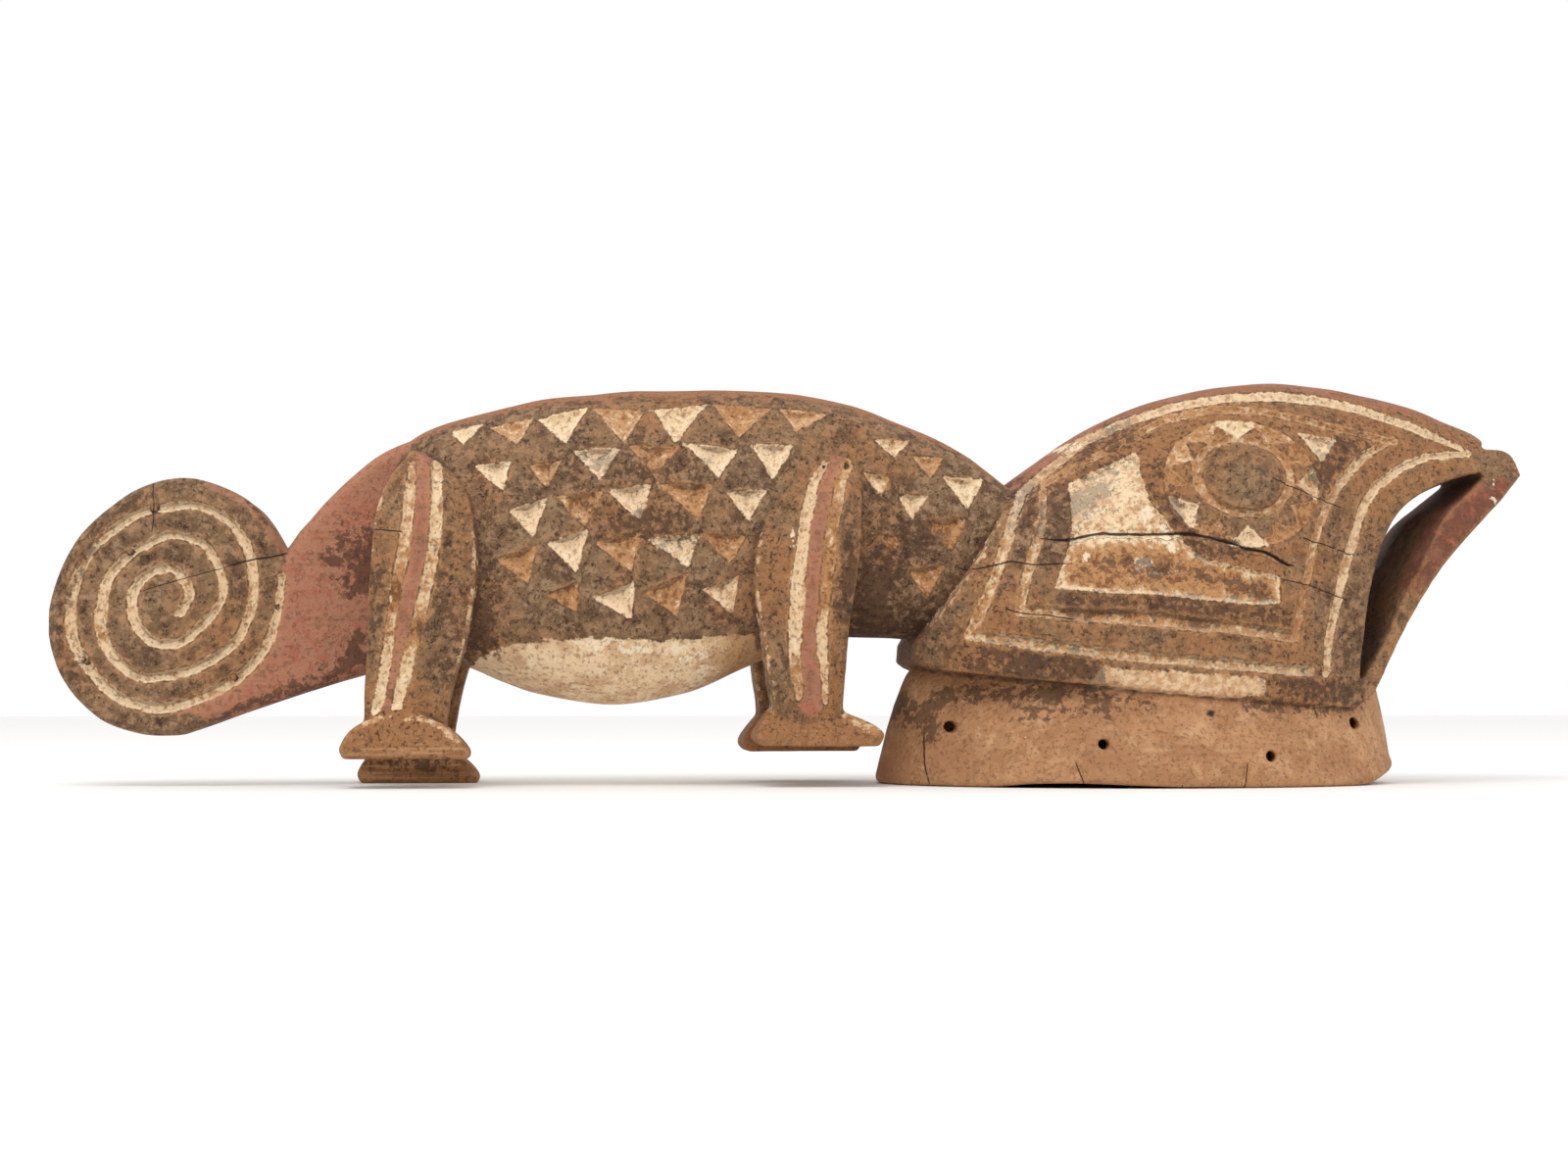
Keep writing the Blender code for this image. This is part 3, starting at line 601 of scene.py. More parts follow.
def triangle_sides(x, z, corners):
    """Distance outwards from each side of a triangle, below zero inside it."""
    corners = np.array(corners, float)
    first, second = corners[1] - corners[0], corners[2] - corners[0]
    turn = np.sign(first[0] * second[1] - first[1] * second[0])
    sides = []
    for a, b in zip(corners, np.roll(corners, -1, axis=0)):
        along = (b - a) / np.linalg.norm(b - a)
        sides.append(turn * (along[1] * (x - a[0]) - along[0] * (z - a[1])))
    return sides


def cut_pit(x, z, corners, paint):
    """Edge distance, depth and paint of one chipped pit."""
    top, right, left = triangle_sides(x, z, corners)
    depth = np.minimum.reduce([-top * pit_steep, -right * pit_gentle, -left * pit_gentle])
    return (np.maximum.reduce([top, right, left]), np.clip(depth, 0, pit_depth),
            np.full(len(x), paint))


def nearest_cut(parts):
    """The nearest of several cuts at every point."""
    edge, depth, tone = parts[0]
    for other_edge, other_depth, other_tone in parts[1:]:
        nearer = other_edge < edge
        tone = np.where(nearer, other_tone, tone)
        depth = np.maximum(depth, other_depth)
        edge = np.minimum(edge, other_edge)
    return edge, depth, tone


def cut_pits(x, z):
    """The pits on the flanks."""
    return nearest_cut([cut_pit(x, z, corners, paint) for *corners, paint in pits])


cuts.append((["body"], cut_pits))

# Spiral of the tail. One groove winds in three turns to the middle of the disc on each side. It
# is cut with a narrow gouge and filled with white, and its walls have broken out in places.
spiral_path = [(77, 102), (83, 114), (77, 126), (70, 129), (57, 124), (50, 113), (50, 99),
               (58, 88), (68, 84), (82, 87), (96, 101), (102, 113), (100, 126), (96, 136),
               (90, 144), (72, 148), (57, 142), (45, 134), (36, 122), (32.5, 108), (32, 93),
               (38, 78), (50, 67), (63, 64), (82, 68), (97, 75), (110, 86), (117.5, 102),
               (119.5, 115), (118, 131), (115, 142), (107, 154.5), (97, 162), (84.5, 165.5),
               (72, 164), (57, 162), (44, 155), (30, 144), (21, 130), (16.5, 115), (14.7, 99),
               (18.5, 81), (25, 70), (34, 59), (46, 50.5), (63, 46), (78, 48), (95, 54.5),
               (107.5, 62), (117.5, 70), (128, 84), (133.5, 99.5), (135.5, 115), (136, 124)]
spiral_widths = (5.4, 5.0, 5.8, 5.6, 4.2, 4.4, 5.0, 6.2, 5.8, 5.2, 5.8, 4.8, 4.4, 5.2, 6.0, 6.2,
                 5.6, 6.2, 5.0, 4.0)
spiral_tones = (0.9, 0.8, 0.85, 1.0, 0.75, 0.85, 0.9, 0.95, 0.75, 0.8, 0.9, 0.7, 0.9, 0.85, 0.95,
                0.75, 0.8, 1.0, 0.8, 0.7, 0.9, 0.85)
spiral_depth = 3.0
spiral_breaks = [(61.0, 164.0, 3.4), (48.0, 138.5, 2.6), (24.5, 73.0, 2.4), (108.5, 64.5, 2.6),
                 (134.0, 106.0, 2.0), (115.5, 150.0, 1.8)]


def path_distance(x, z, path):
    """Distance to a path of the side view, its signed offset, and the share along the path."""
    path = np.array(path, float)
    best = np.full(len(x), 1e9)
    signed, share = np.zeros(len(x)), np.zeros(len(x))
    for index, (a, b) in enumerate(zip(path[:-1], path[1:])):
        along = b - a
        t = np.clip(((x - a[0]) * along[0] + (z - a[1]) * along[1]) / (along @ along), 0, 1)
        dx, dz = x - a[0] - t * along[0], z - a[1] - t * along[1]
        distance = np.hypot(dx, dz)
        nearer = distance < best
        best = np.where(nearer, distance, best)
        signed = np.where(nearer, np.sign(along[0] * dz - along[1] * dx) * distance, signed)
        share = np.where(nearer, (index + t) / (len(path) - 1), share)
    return best, signed, share


def cut_groove(x, z, path, widths, depth, tones):
    """Edge distance, depth and paint of a groove with sloping walls."""
    distance, _, share = path_distance(x, z, path)
    half_width = np.interp(share, np.linspace(0, 1, len(widths)), widths) / 2
    edge = distance - half_width
    floor = depth * ease_in(-edge, -0.4, 2.0) * np.minimum(half_width / 2.2, 1.0)
    return edge, floor, np.interp(share, np.linspace(0, 1, len(tones)), tones)


def cut_spiral(x, z):
    """The spiral groove."""
    edge, depth, tone = cut_groove(x, z, smooth_points(spiral_path, 3), spiral_widths,
                                   spiral_depth, spiral_tones)
    for px, pz, reach in spiral_breaks:
        edge = np.maximum(edge, reach - np.hypot(x - px, z - pz))
    return edge, np.where(edge < 1, depth, 0), tone


cuts.append((["tail"], cut_spiral))

# Stripes of the legs. Two grooves run down each leg's face and are painted white and ochre. The
# ridge between them is red.
stripe_depth = 2.6
hind_left = [(195, 44), (198, 57), (200, 70), (203, 90), (205.5, 110), (209, 130), (211.5, 150),
             (213.5, 170), (215, 188)]
hind_right = [(206, 44), (209, 57), (212.5, 70), (217.5, 90), (222, 110), (226, 130), (228.5, 150),
              (228.8, 170), (228, 190)]
fore_left = [(439, 52), (437.5, 70), (437, 90), (438, 110), (440.5, 130), (442.5, 150), (446, 170),
             (449, 180), (453, 186), (456, 191)]
fore_right = [(454.5, 50), (454, 70), (452.8, 90), (454.2, 110), (456.5, 130), (458.5, 150),
              (462.8, 170), (465, 180), (468, 187), (470, 193)]
hind_stripes = [(hind_left, (5, 5.5, 5.5, 5, 5.5, 7, 6.5, 5.5, 3),
                 (0.9, 0.95, 0.9, 0.7, 0.15, 0.5, 0.65, 0.75, 0.5)),
                (hind_right, (5, 6, 7, 6.5, 6.5, 6.5, 6.5, 6, 4.5),
                 (0.95, 1.0, 0.9, 0.3, 0.85, 0.6, 0.75, 0.8, 0.6))]
fore_stripes = [(fore_left, (3.5, 6, 7, 7.5, 7.5, 6.5, 6.5, 6, 5, 4, 3),
                 (0.5, 0.6, 0.95, 0.85, 0.9, 1.0, 0.85, 0.75, 0.8, 0.7, 0.6)),
                (fore_right, (3, 4, 6, 6, 7, 7, 6.5, 7, 6.5, 4.5),
                 (0.6, 0.8, 0.9, 0.35, 0.4, 0.45, 0.55, 0.5, 0.55, 0.45))]


def cut_stripes(x, z, stripes):
    """The two grooves of a leg."""
    return nearest_cut([cut_groove(x, z, smooth_points(path, 2), widths, stripe_depth, tones)
                        for path, widths, tones in stripes])


cuts.append((["hind near leg", "hind far leg"], lambda x, z: cut_stripes(x, z, hind_stripes)))
cuts.append((["fore near leg", "fore far leg"], lambda x, z: cut_stripes(x, z, fore_stripes)))

# Frames of the cheek. Grooves follow the head's edges, the eye and the lip in bands. The groove
# under the crest and the one along the lip are white. A sunk panel between them is painted white
# too, with a brown bar in its foot.
head_groove_depth = 2.8
outer_frame = [(742, 68), (680, 73), (626, 78), (562, 85), (540, 89), (549, 110), (560, 135),
               (570, 160), (577, 175), (587, 184), (617, 208), (643, 220), (668, 228), (702, 234),
               (734, 236), (764, 234), (790, 229), (816, 221), (836, 213), (853, 206)]
inner_frame_low = [(808, 211), (786, 199), (770, 184), (758, 168), (749, 148), (742, 124),
                   (737, 105), (733, 88), (705, 92), (644, 98), (568, 103), (572, 121),
                   (579, 140), (585, 158), (588, 175)]
inner_frame_high = [(588, 173), (590, 180), (606, 189), (632, 203), (664, 220), (693, 226),
                    (719, 226), (744, 222), (775, 216), (808, 209)]
lip_groove = [(857, 203), (831, 200), (810, 192), (793, 181), (783, 168), (776, 150), (770, 135),
              (765, 119), (760, 102), (756, 86), (754, 67)]
frames = [
    (outer_frame, (6, 6, 6.5, 6.5, 5.5, 5.5, 5.5, 5.5, 5, 5, 5, 5, 5.5, 5.5, 5.5, 5.5, 5.5, 5.5,
                   5, 3),
     (0.75, 0.6, 0.6, 0.65, 0.65, 0.6, 0.65, 0.7, 0.75, 0.6, 0.6, 0.65, 0.7, 0.75, 0.9, 0.9, 0.85,
      0.95, 1.0, 0.9)),
    (inner_frame_low, (3.5, 5, 5.5, 5, 5, 4.5, 4.5, 5, 7, 8.5, 6, 5.5, 5.5, 5, 4.5),
     (0.6, 0.65, 0.65, 0.55, 0.55, 0.5, 0.45, 0.5, 0.5, 0.5, 0.55, 0.6, 0.6, 0.6, 0.55)),
    (inner_frame_high, (4, 4, 4, 4.5, 5, 5, 5, 4.5, 4.5, 4),
     (0.5, 0.5, 0.45, 0.45, 0.5, 0.45, 0.45, 0.5, 0.5, 0.6)),
    (lip_groove, (4, 4, 5, 5, 5.5, 5.5, 5.5, 6, 5.5, 5.5, 5),
     (0.85, 0.95, 0.9, 0.8, 0.75, 0.75, 0.7, 0.75, 0.8, 0.75, 0.7)),
]
panel_outline = [(602, 180), (643, 199), (644, 184), (648, 166), (660, 151), (669, 140),
                 (681, 133), (706, 127), (724, 124), (724, 108), (708, 107), (642, 113),
                 (589, 116), (597, 137), (602, 153)]
panel_depth = 1.6
panel_bar_line = [(590, 138), (640, 142), (662, 138), (688, 129), (722, 121)]
panel_border = 2.4
eye_corner_pit = [(744, 212), (770, 209), (757, 195)]


def outline_edge(x, z, outline):
    """Distance outwards from a closed outline, below zero inside it."""
    closed = np.array(list(outline) + [outline[0]], float)
    distance, _, _ = path_distance(x, z, closed)
    inside = np.zeros(len(x), bool)
    for a, b in zip(closed[:-1], closed[1:]):
        if a[1] != b[1]:
            crossing = a[0] + (z - a[1]) * (b[0] - a[0]) / (b[1] - a[1])
            inside ^= ((a[1] > z) != (b[1] > z)) & (x < crossing)
    return np.where(inside, -distance, distance)


def cut_frames(x, z):
    """The cheek's grooves, its panel and the pit in front of the eye."""
    parts = [cut_groove(x, z, path, widths, head_groove_depth, tones)
             for path, widths, tones in frames]
    panel = outline_edge(x, z, panel_outline)
    in_bar = ease_in(-panel, panel_border - 1, panel_border + 1)
    in_bar *= ease_in(read_curve(panel_bar_line, x) - z, -4.0, 4.0)
    parts.append((panel, panel_depth * ease_in(-panel, -0.5, 2.0), 0.74 - 0.44 * in_bar))
    parts.append(cut_pit(x, z, eye_corner_pit, 0.85))
    return nearest_cut(parts)


cuts.append((["head"], cut_frames))

# Eye. A low oval boss stands up from the cheek inside a ring groove. Twelve pits round it leave
# dark teeth between them that point outwards.
eye_centre = (705.5, 184.0)
eye_half_size = (26.0, 20.5)
eye_rise = 7.0
eye_ring_width = 4.5
eye_ring_depth = 2.0
eye_profile = [(0.0, 1.0), (0.3, 0.96), (0.6, 0.8), (0.85, 0.5), (0.97, 0.3), (1.03, 0.0)]
eye_pit_ring = (48.0, 39.0)
eye_pit_centre = (705.0, 180.0)
eye_pit_inner_share = 0.68
eye_tooth_share = 0.94
eye_pit_depth = 3.0
eye_pit_tones = (0.65, 0.35, 0.45, 0.85, 0.45, 0.5, 0.3, 0.9, 0.45, 1.0, 0.35, 0.3)


def eye_share(x, z):
    """How far out a point lies, as a share of the eye's own oval."""
    return np.hypot((x - eye_centre[0]) / eye_half_size[0], (z - eye_centre[1]) / eye_half_size[1])


def cut_eye(x, z):
    """The eye's ring groove and its ring of pits."""
    radius = (eye_share(x, z) - 1) * min(eye_half_size)
    ring = np.abs(radius - eye_ring_width / 2) - eye_ring_width / 2
    parts = [(ring, eye_ring_depth * ease_in(-ring, -0.6, 1.4), np.full(len(x), 0.5))]
    count = len(eye_pit_tones)
    dx, dz = (x - eye_pit_centre[0]) / eye_pit_ring[0], (z - eye_pit_centre[1]) / eye_pit_ring[1]
    share, turn = np.hypot(dx, dz), np.arctan2(dz, dx) / (2 * math.pi) * count
    which = np.round(turn).astype(int)
    inner_line = eye_pit_inner_share + (eye_tooth_share - eye_pit_inner_share) * 2 * np.abs(
        turn - which)
    outer_side, inner_side = (share - 1) * eye_pit_ring[1], (inner_line - share) * eye_pit_ring[1]
    edge = np.maximum(outer_side, inner_side * 0.7)
    depth = np.minimum(-outer_side * 0.9, -inner_side * 0.5)
    parts.append((edge, np.clip(depth, 0, eye_pit_depth), np.array(eye_pit_tones)[which % count]))
    return nearest_cut(parts)


cuts.append((["head"], cut_eye))

# Age. The log has split along its grain in long checks, and the collar's rim is worn wavy. The
# belly's white ground is a thin coat that ends at a line cut along the flank.
cracks = [
    (("head",), [(582, 146), (598, 145), (618, 149), (642, 149), (671, 149), (696, 143),
                 (703, 140), (716, 138), (729, 131), (737, 131)], 0.6),
    (("head", "body"), [(533, 131), (545, 128), (563, 132), (576, 131), (601, 131)], 0.32),
    (("head",), [(552, 107), (568, 102), (583, 100), (600, 98)], 0.26),
    (("head",), [(718, 185), (738, 177), (755, 170), (771, 166)], 0.22),
    (("head",), [(737, 149), (756, 143), (777, 138)], 0.24),
    (("head",), [(724, 123), (756, 115), (771, 110)], 0.24),
    (("tail",), [(139, 138), (130, 136), (118, 133), (103, 129)], 0.36),
    (("tail",), [(103, 129), (78, 122), (54, 115)], 0.14),
    (("tail",), [(60, 181), (61, 164), (60, 148)], 0.2),
    (("collar",), [(517, 33), (516, 18), (518, 1)], 0.28),
    (("collar",), [(597, 15), (601, 2)], 0.24),
    (("collar",), [(656, 8), (657, 0)], 0.22),
    (("collar",), [(697, 15), (693, 0)], 0.24),
    (("collar",), [(747, 50), (748, 39)], 0.24),
    (("hind near leg", "hind far leg"), [(192, 149), (204, 148), (210, 148)], 0.24),
]
crack_reach = 4.0
crack_depth = 1.6
crack_open_from = 0.3
rim_wave = [(493, 0.0), (540, 0.0), (575, 2.2), (600, 2.8), (640, 1.0), (700, 0.0), (790, 0.0)]
rim_wave_reach = 26.0
belly_line = [(244, 66), (254, 77), (286, 85), (322, 87), (364, 86), (416, 91), (430, 92)]
belly_coat_step = 0.8


def read_cracks(x, z, form):
    """Signed offset from the nearest crack and its half width, nothing away from any."""
    offset, half_width = np.full(len(x), 20.0), np.zeros(len(x))
    for names, path, width in cracks:
        here = np.isin(form, [forms.index(name) for name in names])
        distance, signed, share = path_distance(x[here], z[here], smooth_points(path, 4))
        taper = ease_in(share, 0.0, 0.15) * ease_in(1 - share, 0.0, 0.15)
        nearer = (distance < np.abs(offset[here])) & (distance < crack_reach) & (taper > 0)
        offset[here] = np.where(nearer, signed, offset[here])
        half_width[here] = np.where(nearer, width * (0.3 + 0.7 * taper), half_width[here])
    return offset, half_width


def read_cuts(x, z, form):
    """Edge distance, depth and paint of the nearest cut of every point's own form."""
    edge, depth, tone = np.full(len(x), 30.0), np.zeros(len(x)), np.zeros(len(x))
    for names, cut in cuts:
        here = np.isin(form, [forms.index(name) for name in names])
        new_edge, new_depth, new_tone = cut(x[here], z[here])
        nearer = new_edge < edge[here]
        tone[here] = np.where(nearer, new_tone, tone[here])
        depth[here] = np.maximum(depth[here], new_depth)
        edge[here] = np.minimum(edge[here], new_edge)
    return edge, depth, tone


# Carving. Every point of the skin is sunk square to the surface by what is cut there, on faces
# that look sideways and aren't part of the hollow, and the eye's boss is raised.
facing_low, facing_high = 0.15, 0.4
cut_wall_limit = 4.0
_, in_cavity = find_nearest(cavity_tree, points, cut_wall_limit)
_, in_mouth = find_nearest(mouth_tree, points, cut_wall_limit)
outside = ease_in(in_cavity, 0.8, 2.0) * ease_in(in_mouth, 0.2, 1.6)
outward = np.where(normals[:, 1] * points[:, 1] > 0, np.abs(normals[:, 1]), 0)
facing = ease_in(outward, facing_low, facing_high) * outside
x, z = wavering(points)
edge, depth, _ = read_cuts(x, z, form)
seam = np.bincount(edges.ravel(), np.repeat(form[edges[:, 0]] != form[edges[:, 1]], 2), len(points))
depth *= 1 - ease_in(spread((seam > 0) * 1.0, edges, 5, 0.9), 0.0, 0.25)
offset, half_width = read_cracks(x, z, form)
open_crack = ease_in(half_width, crack_open_from, crack_open_from + 0.2)
depth += crack_depth * open_crack * ease_in(half_width + 0.9 - np.abs(offset), 0.0, 1.0)
boss = np.interp(eye_share(x, z), *np.array(eye_profile).T) * eye_rise
depth -= np.where(form == forms.index("head"), boss, 0)
under_line = read_curve(belly_line, x) - z
on_belly = (form == 0) & (x > belly_line[0][0]) & (x < belly_line[-1][0])
depth += np.where(on_belly, belly_coat_step * ease_in(under_line, -0.6, 0.8), 0)
lift = -depth * facing
lift += adze_depth * lumps(points, adze_lump, 1.7) * outside
lift += knife_depth * lumps(points * (0.5, 1, 1), knife_lump, 5.3) * outside
points += normals * lift[:, None]
worn = read_curve(rim_wave, points[:, 0]) * ease_in(-points[:, 1], 20.0, 70.0)
worn *= ease_in(rim_wave_reach - points[:, 2], 0.0, 18.0)
points[:, 2] += np.where(form == forms.index("collar"), worn, 0)

low = np.array(cad_low) / MM + (middle_length, 0, 0)
high = np.array(cad_high) / MM + (middle_length, 0, 0)
points = np.clip(points, low, high)
mask.data.vertices.foreach_set("co", points.astype(np.float32).ravel())
mask.data.update()
bend = np.sum((spread(points, edges, 8, 0.6) - points) * point_normals(points, triangles), axis=1)
dense_points = points

# Lightening. The even skin has more points than a flat stretch needs, so they are thinned out,
# first in the hollow and last beside the cuts, and every point left finds its place in the
# carving again. A point of weight zero would never be thinned out, so no weight is zero.
face_budget = 192000
thinning_bias = 0.02
plain_weight, cut_weight, hollow_weight = 0.6, 0.2, 1.0
cut_border = 3.0
hollow_border = 2.0
group = mask.vertex_groups.new(name="thinning")
for chosen, weight in ((in_cavity >= hollow_border, plain_weight),
                       (np.abs(edge) < cut_border, cut_weight),
                       (in_cavity < hollow_border, hollow_weight)):
    group.add(np.nonzero(chosen)[0].tolist(), weight, "REPLACE")
apply_modifier(mask, "TRIANGULATE", {})
apply_modifier(mask, "DECIMATE", {"ratio": face_budget / len(mask.data.polygons),
                                  "vertex_group": "thinning", "vertex_group_factor": thinning_bias})
mask.vertex_groups.clear()
points, triangles = mesh_arrays(mask.data)
edges = mesh_edges(mask.data)
normals = point_normals(points, triangles)
nearest, _ = find_nearest(form_tree, points, 20.0)
form = face_form[nearest]
_, in_cavity = find_nearest(cavity_tree, points, cut_wall_limit)
_, in_mouth = find_nearest(mouth_tree, points, cut_wall_limit)
x, z = wavering(points)
edge, _, tone = read_cuts(x, z, form)
offset, half_width = read_cracks(x, z, form)
outward = np.where(normals[:, 1] * points[:, 1] > 0, np.abs(normals[:, 1]), 0)
sideways = ease_in(outward, 0.02, 0.2) * ease_in(in_cavity, 1.0, 2.5)
edge = np.clip(edge + 8.0 * (1 - sideways), -8, 8)
half_width = half_width * (sideways > 0.5)
near_dense = KDTree(len(dense_points))
for i, point in enumerate(dense_points.tolist()):
    near_dense.insert(point, i)
near_dense.balance()
bend = bend[[near_dense.find(point)[1] for point in points.tolist()]]

# Old paint. White and ochre lie in the cuts, red on the tail, the back, the crest, the jaw and the
# ridges of the legs. The collar and one long patch over it are bare, and listed stains are soot
# brown. Shade is painted in too: in creases that bend inwards, on the walls of the hollow and the
# mouth slot, at the neck between the fore legs and the head, and on down-facing facets of the cuts,
# whose up-facing facets get a painted highlight.
tail_red_edge = [(30, 150), (44, 76), (56, 100), (66, 113), (80, 124), (98, 133), (115, 136),
                 (138, 136), (150, 148), (200, 170)]
red_back_height = 6.0
red_crest_height = 6.0
red_depth = {"tail": 0.0, "body": 0.5, "head": 0.4, "leg": 0.3, "jaw": 0.8}
worn_patch = [(607, 62), (618, 70), (659, 68), (714, 63), (716, 54), (677, 50), (636, 52),
              (607, 56)]
worn_knot = (675.0, 62.0)
collar_knot = (679.0, 43.0)
rim_strip = 4.5
warmth = {"body": 0.2, "tail": 0.1, "head": 0.38, "leg": 0.35, "foot": 0.7, "collar": 1.0}
stains_and_shade = [
    ("tail", [(172, 152), (170, 132), (180, 117), (188, 135), (190, 152)], 7.0, 1.0),
    ("tail", [(183, 92), (176, 74), (162, 61), (132, 48)], 6.0, 0.9),
    ("tail", [(140, 150), (128, 158), (116, 168)], 5.0, 0.5),
    ("tail", [(20, 60), (10, 90), (12, 120), (30, 150)], 9.0, 0.5),
    ("collar", [(518, 38), (520, 46), (533, 53), (556, 55), (580, 54), (600, 56), (618, 49)],
     5.0, 1.0),
    ("collar", [(497, 62), (506, 46), (514, 40), (520, 32)], 7.0, 0.9),
    ("collar", [(560, 46), (600, 44), (640, 50)], 7.0, 0.55),
    ("collar", [(700, 50), (740, 46), (780, 50)], 8.0, 0.5),
    ("head", [(545, 72), (570, 74), (596, 70), (612, 66)], 12.0, 0.9),
    ("head", [(722, 60), (745, 58), (770, 54)], 9.0, 1.0),
    ("head", [(606, 128), (630, 131), (655, 127), (690, 122), (715, 114)], 4.5, 0.9),
    ("head", [(600, 106), (660, 104), (725, 100)], 9.0, 0.75),
    ("head", [(575, 180), (590, 150), (640, 212)], 14.0, 0.6),
    ("head", [(650, 185), (668, 150), (700, 138)], 9.0, 0.8),
    ("head", [(760, 190), (780, 205)], 14.0, 0.7),
    # These two are painted shade in the neck's recess between the fore legs and the head.
    ("body", [(480, 92), (484, 112), (496, 130), (512, 146)], 16.0, 1.0),
    ("body", [(500, 100), (530, 96)], 14.0, 0.7),
    ("body", [(254, 84), (252, 110), (254, 130)], 12.0, 0.8),
    ("body", [(300, 190), (340, 184), (380, 186)], 12.0, 0.5),
    ("body", [(320, 158), (350, 154), (372, 150)], 13.0, 0.7),
    # These two darken the front facet of the fore leg and of the hind leg.
    ("leg", [(470, 146), (469, 120), (466, 105)], 7.0, 0.9),
    ("leg", [(236, 140), (234, 110), (226, 92)], 8.0, 0.6),
    ("leg", [(196, 140), (195, 110), (194, 80)], 6.0, 0.5),
    ("foot", [(184, 14), (210, 15), (240, 14)], 4.0, 1.0),
    ("tail", [(262, 84), (187, 75), (122, 50), (96, 38)], 2.2, 1.0),
]
flakes = [("head", 612, 163, 3, 5), ("head", 646, 160, 5, 6), ("head", 652, 153, 6, 2.5),
          ("head", 604, 147, 4, 3), ("head", 625, 148, 16, 2), ("head", 652, 146, 12, 2.5),
          ("head", 661, 140, 5, 3), ("head", 609, 134, 3, 3), ("head", 641, 131, 7, 3),
          ("head", 655, 126, 9, 2), ("body", 325, 85, 16, 2), ("body", 345, 80, 16, 2.2),
          ("body", 366, 81, 8, 3), ("body", 378, 75, 8, 4), ("body", 388, 69, 7, 3),
          ("body", 262, 68, 8, 1.5), ("leg", 436, 143, 1.4, 8), ("leg", 435, 124, 1.2, 6),
          ("leg", 203, 114, 1.0, 8), ("head", 610, 87, 2, 1.4), ("head", 518, 77, 1.5, 1),
          ("head", 600, 205, 12, 3), ("head", 870, 178, 2, 9)]
wear_lines = [
    ("leg", [(250, 150), (251, 132), (250, 112), (246, 90), (241, 72)], 0.7),
    ("leg", [(200, 178), (195, 160), (192.5, 145), (191, 128)], 0.4),
    ("leg", [(418, 152), (416, 130), (416, 112), (419, 90), (423, 66), (427, 45)], 0.5),
    ("foot", [(184, 32), (192, 38), (204, 41), (220, 40), (232, 36), (242, 28)], 1.5),
    ("foot", [(462, 49), (467, 43), (475, 38), (484, 33)], 3.0),
    ("foot", [(424, 44), (432, 48), (458, 48)], 1.0),
    ("head", [(839, 176), (815, 150), (800, 122), (786, 86)], 1.2),
    ("head", [(516, 92), (532, 113), (548, 135), (560, 158)], 0.8),
]


def is_form(kind):
    """Which points belong to a kind of form."""
    return np.isin(form, [i for i, name in enumerate(forms) if name.endswith(kind)])


flank_x, heights = points[:, 0], points[:, 2]
red = np.full(len(points), -6.0)
deep = np.zeros(len(points))
warm = np.zeros(len(points))
for kind, level in warmth.items():
    warm = np.where(is_form(kind), level, warm)
tail_edge = np.interp(z, *np.array(tail_red_edge, float).T)
red = np.where(is_form("tail"), np.clip(x - tail_edge, -6, 6), red)
red = np.where(form == 0, red_back_height - (read_curve(body_back, flank_x) - heights), red)
on_head = is_form("head")
crest_gap = read_curve(head_crest, flank_x) - heights
red = np.where(on_head, red_crest_height - crest_gap, red)
jaw_line = np.array(mouth_front_edge[::-1], float)
jaw_gap = x - np.interp(z, jaw_line[:, 1], jaw_line[:, 0])
on_jaw = on_head & (jaw_gap > -4) & (z > jaw_line[0, 1])
red = np.where(on_jaw, np.minimum(z - 118, 186 - z) / 3, red)
deep = np.where(form == 0, red_depth["body"], deep)
deep = np.where(on_head, red_depth["head"], deep)
deep = np.where(on_jaw, red_depth["jaw"], deep)
for paths, name in ((hind_stripes, "hind"), (fore_stripes, "fore")):
    chosen = is_form("leg") & np.isin(form, [i for i, n in enumerate(forms) if n.startswith(name)])
    left, right = (np.interp(z, *np.array(path, float).T[::-1]) for path, _, _ in paths)
    band = np.minimum(np.minimum(x - left, right - x) - 1.5, np.minimum(z - 44, 206 - z))
    red = np.where(chosen, band, red)
    deep = np.where(chosen, red_depth["leg"], deep)
bare = np.where(is_form("collar"), 6.0, -6.0)
patch = -outline_edge(x, z, worn_patch)
bare = np.where(on_head & (outward > 0.3), np.maximum(bare, patch), bare)
bare = np.where(in_cavity < 2.0, 3.0, bare)
deep = np.where((form == 0) & (z < 100), ease_in(x, 378.0, 412.0), deep)
coat = np.where((form == 0) & (x > 244) & (x < 428), read_curve(belly_line, x) - z, -20.0)
rim = np.where(is_form("tail") & (flank_x - 60 > 0.6 * np.abs(heights - 130)),
               np.abs(outline_edge(flank_x, heights, tail_outline[::3])), 20.0)
# Darkening from the listed stains, and from the painted shade at the neck among them.
soot_and_shade = np.zeros(len(points))
for kind, path, reach, strength in stains_and_shade:
    distance, _, _ = path_distance(x, z, smooth_points(path, 4))
    strong = strength * np.exp(-(distance / reach) ** 2)
    soot_and_shade = np.maximum(soot_and_shade, np.where(is_form(kind), strong, 0))
chalky = np.full(len(points), -6.0)
for kind, px, pz, half_length, half_height in flakes:
    share = np.hypot((x - px) / half_length, (z - pz) / half_height)
    spot = np.minimum((1 - share) * 5.0, 2.0)
    chalky = np.where(is_form(kind), np.maximum(chalky, spot), chalky)
wear = np.full(len(points), -6.0)
for kind, path, half in wear_lines:
    distance, _, _ = path_distance(x, z, smooth_points(path, 4))
    wear = np.where(is_form(kind), np.maximum(wear, half - distance), wear)
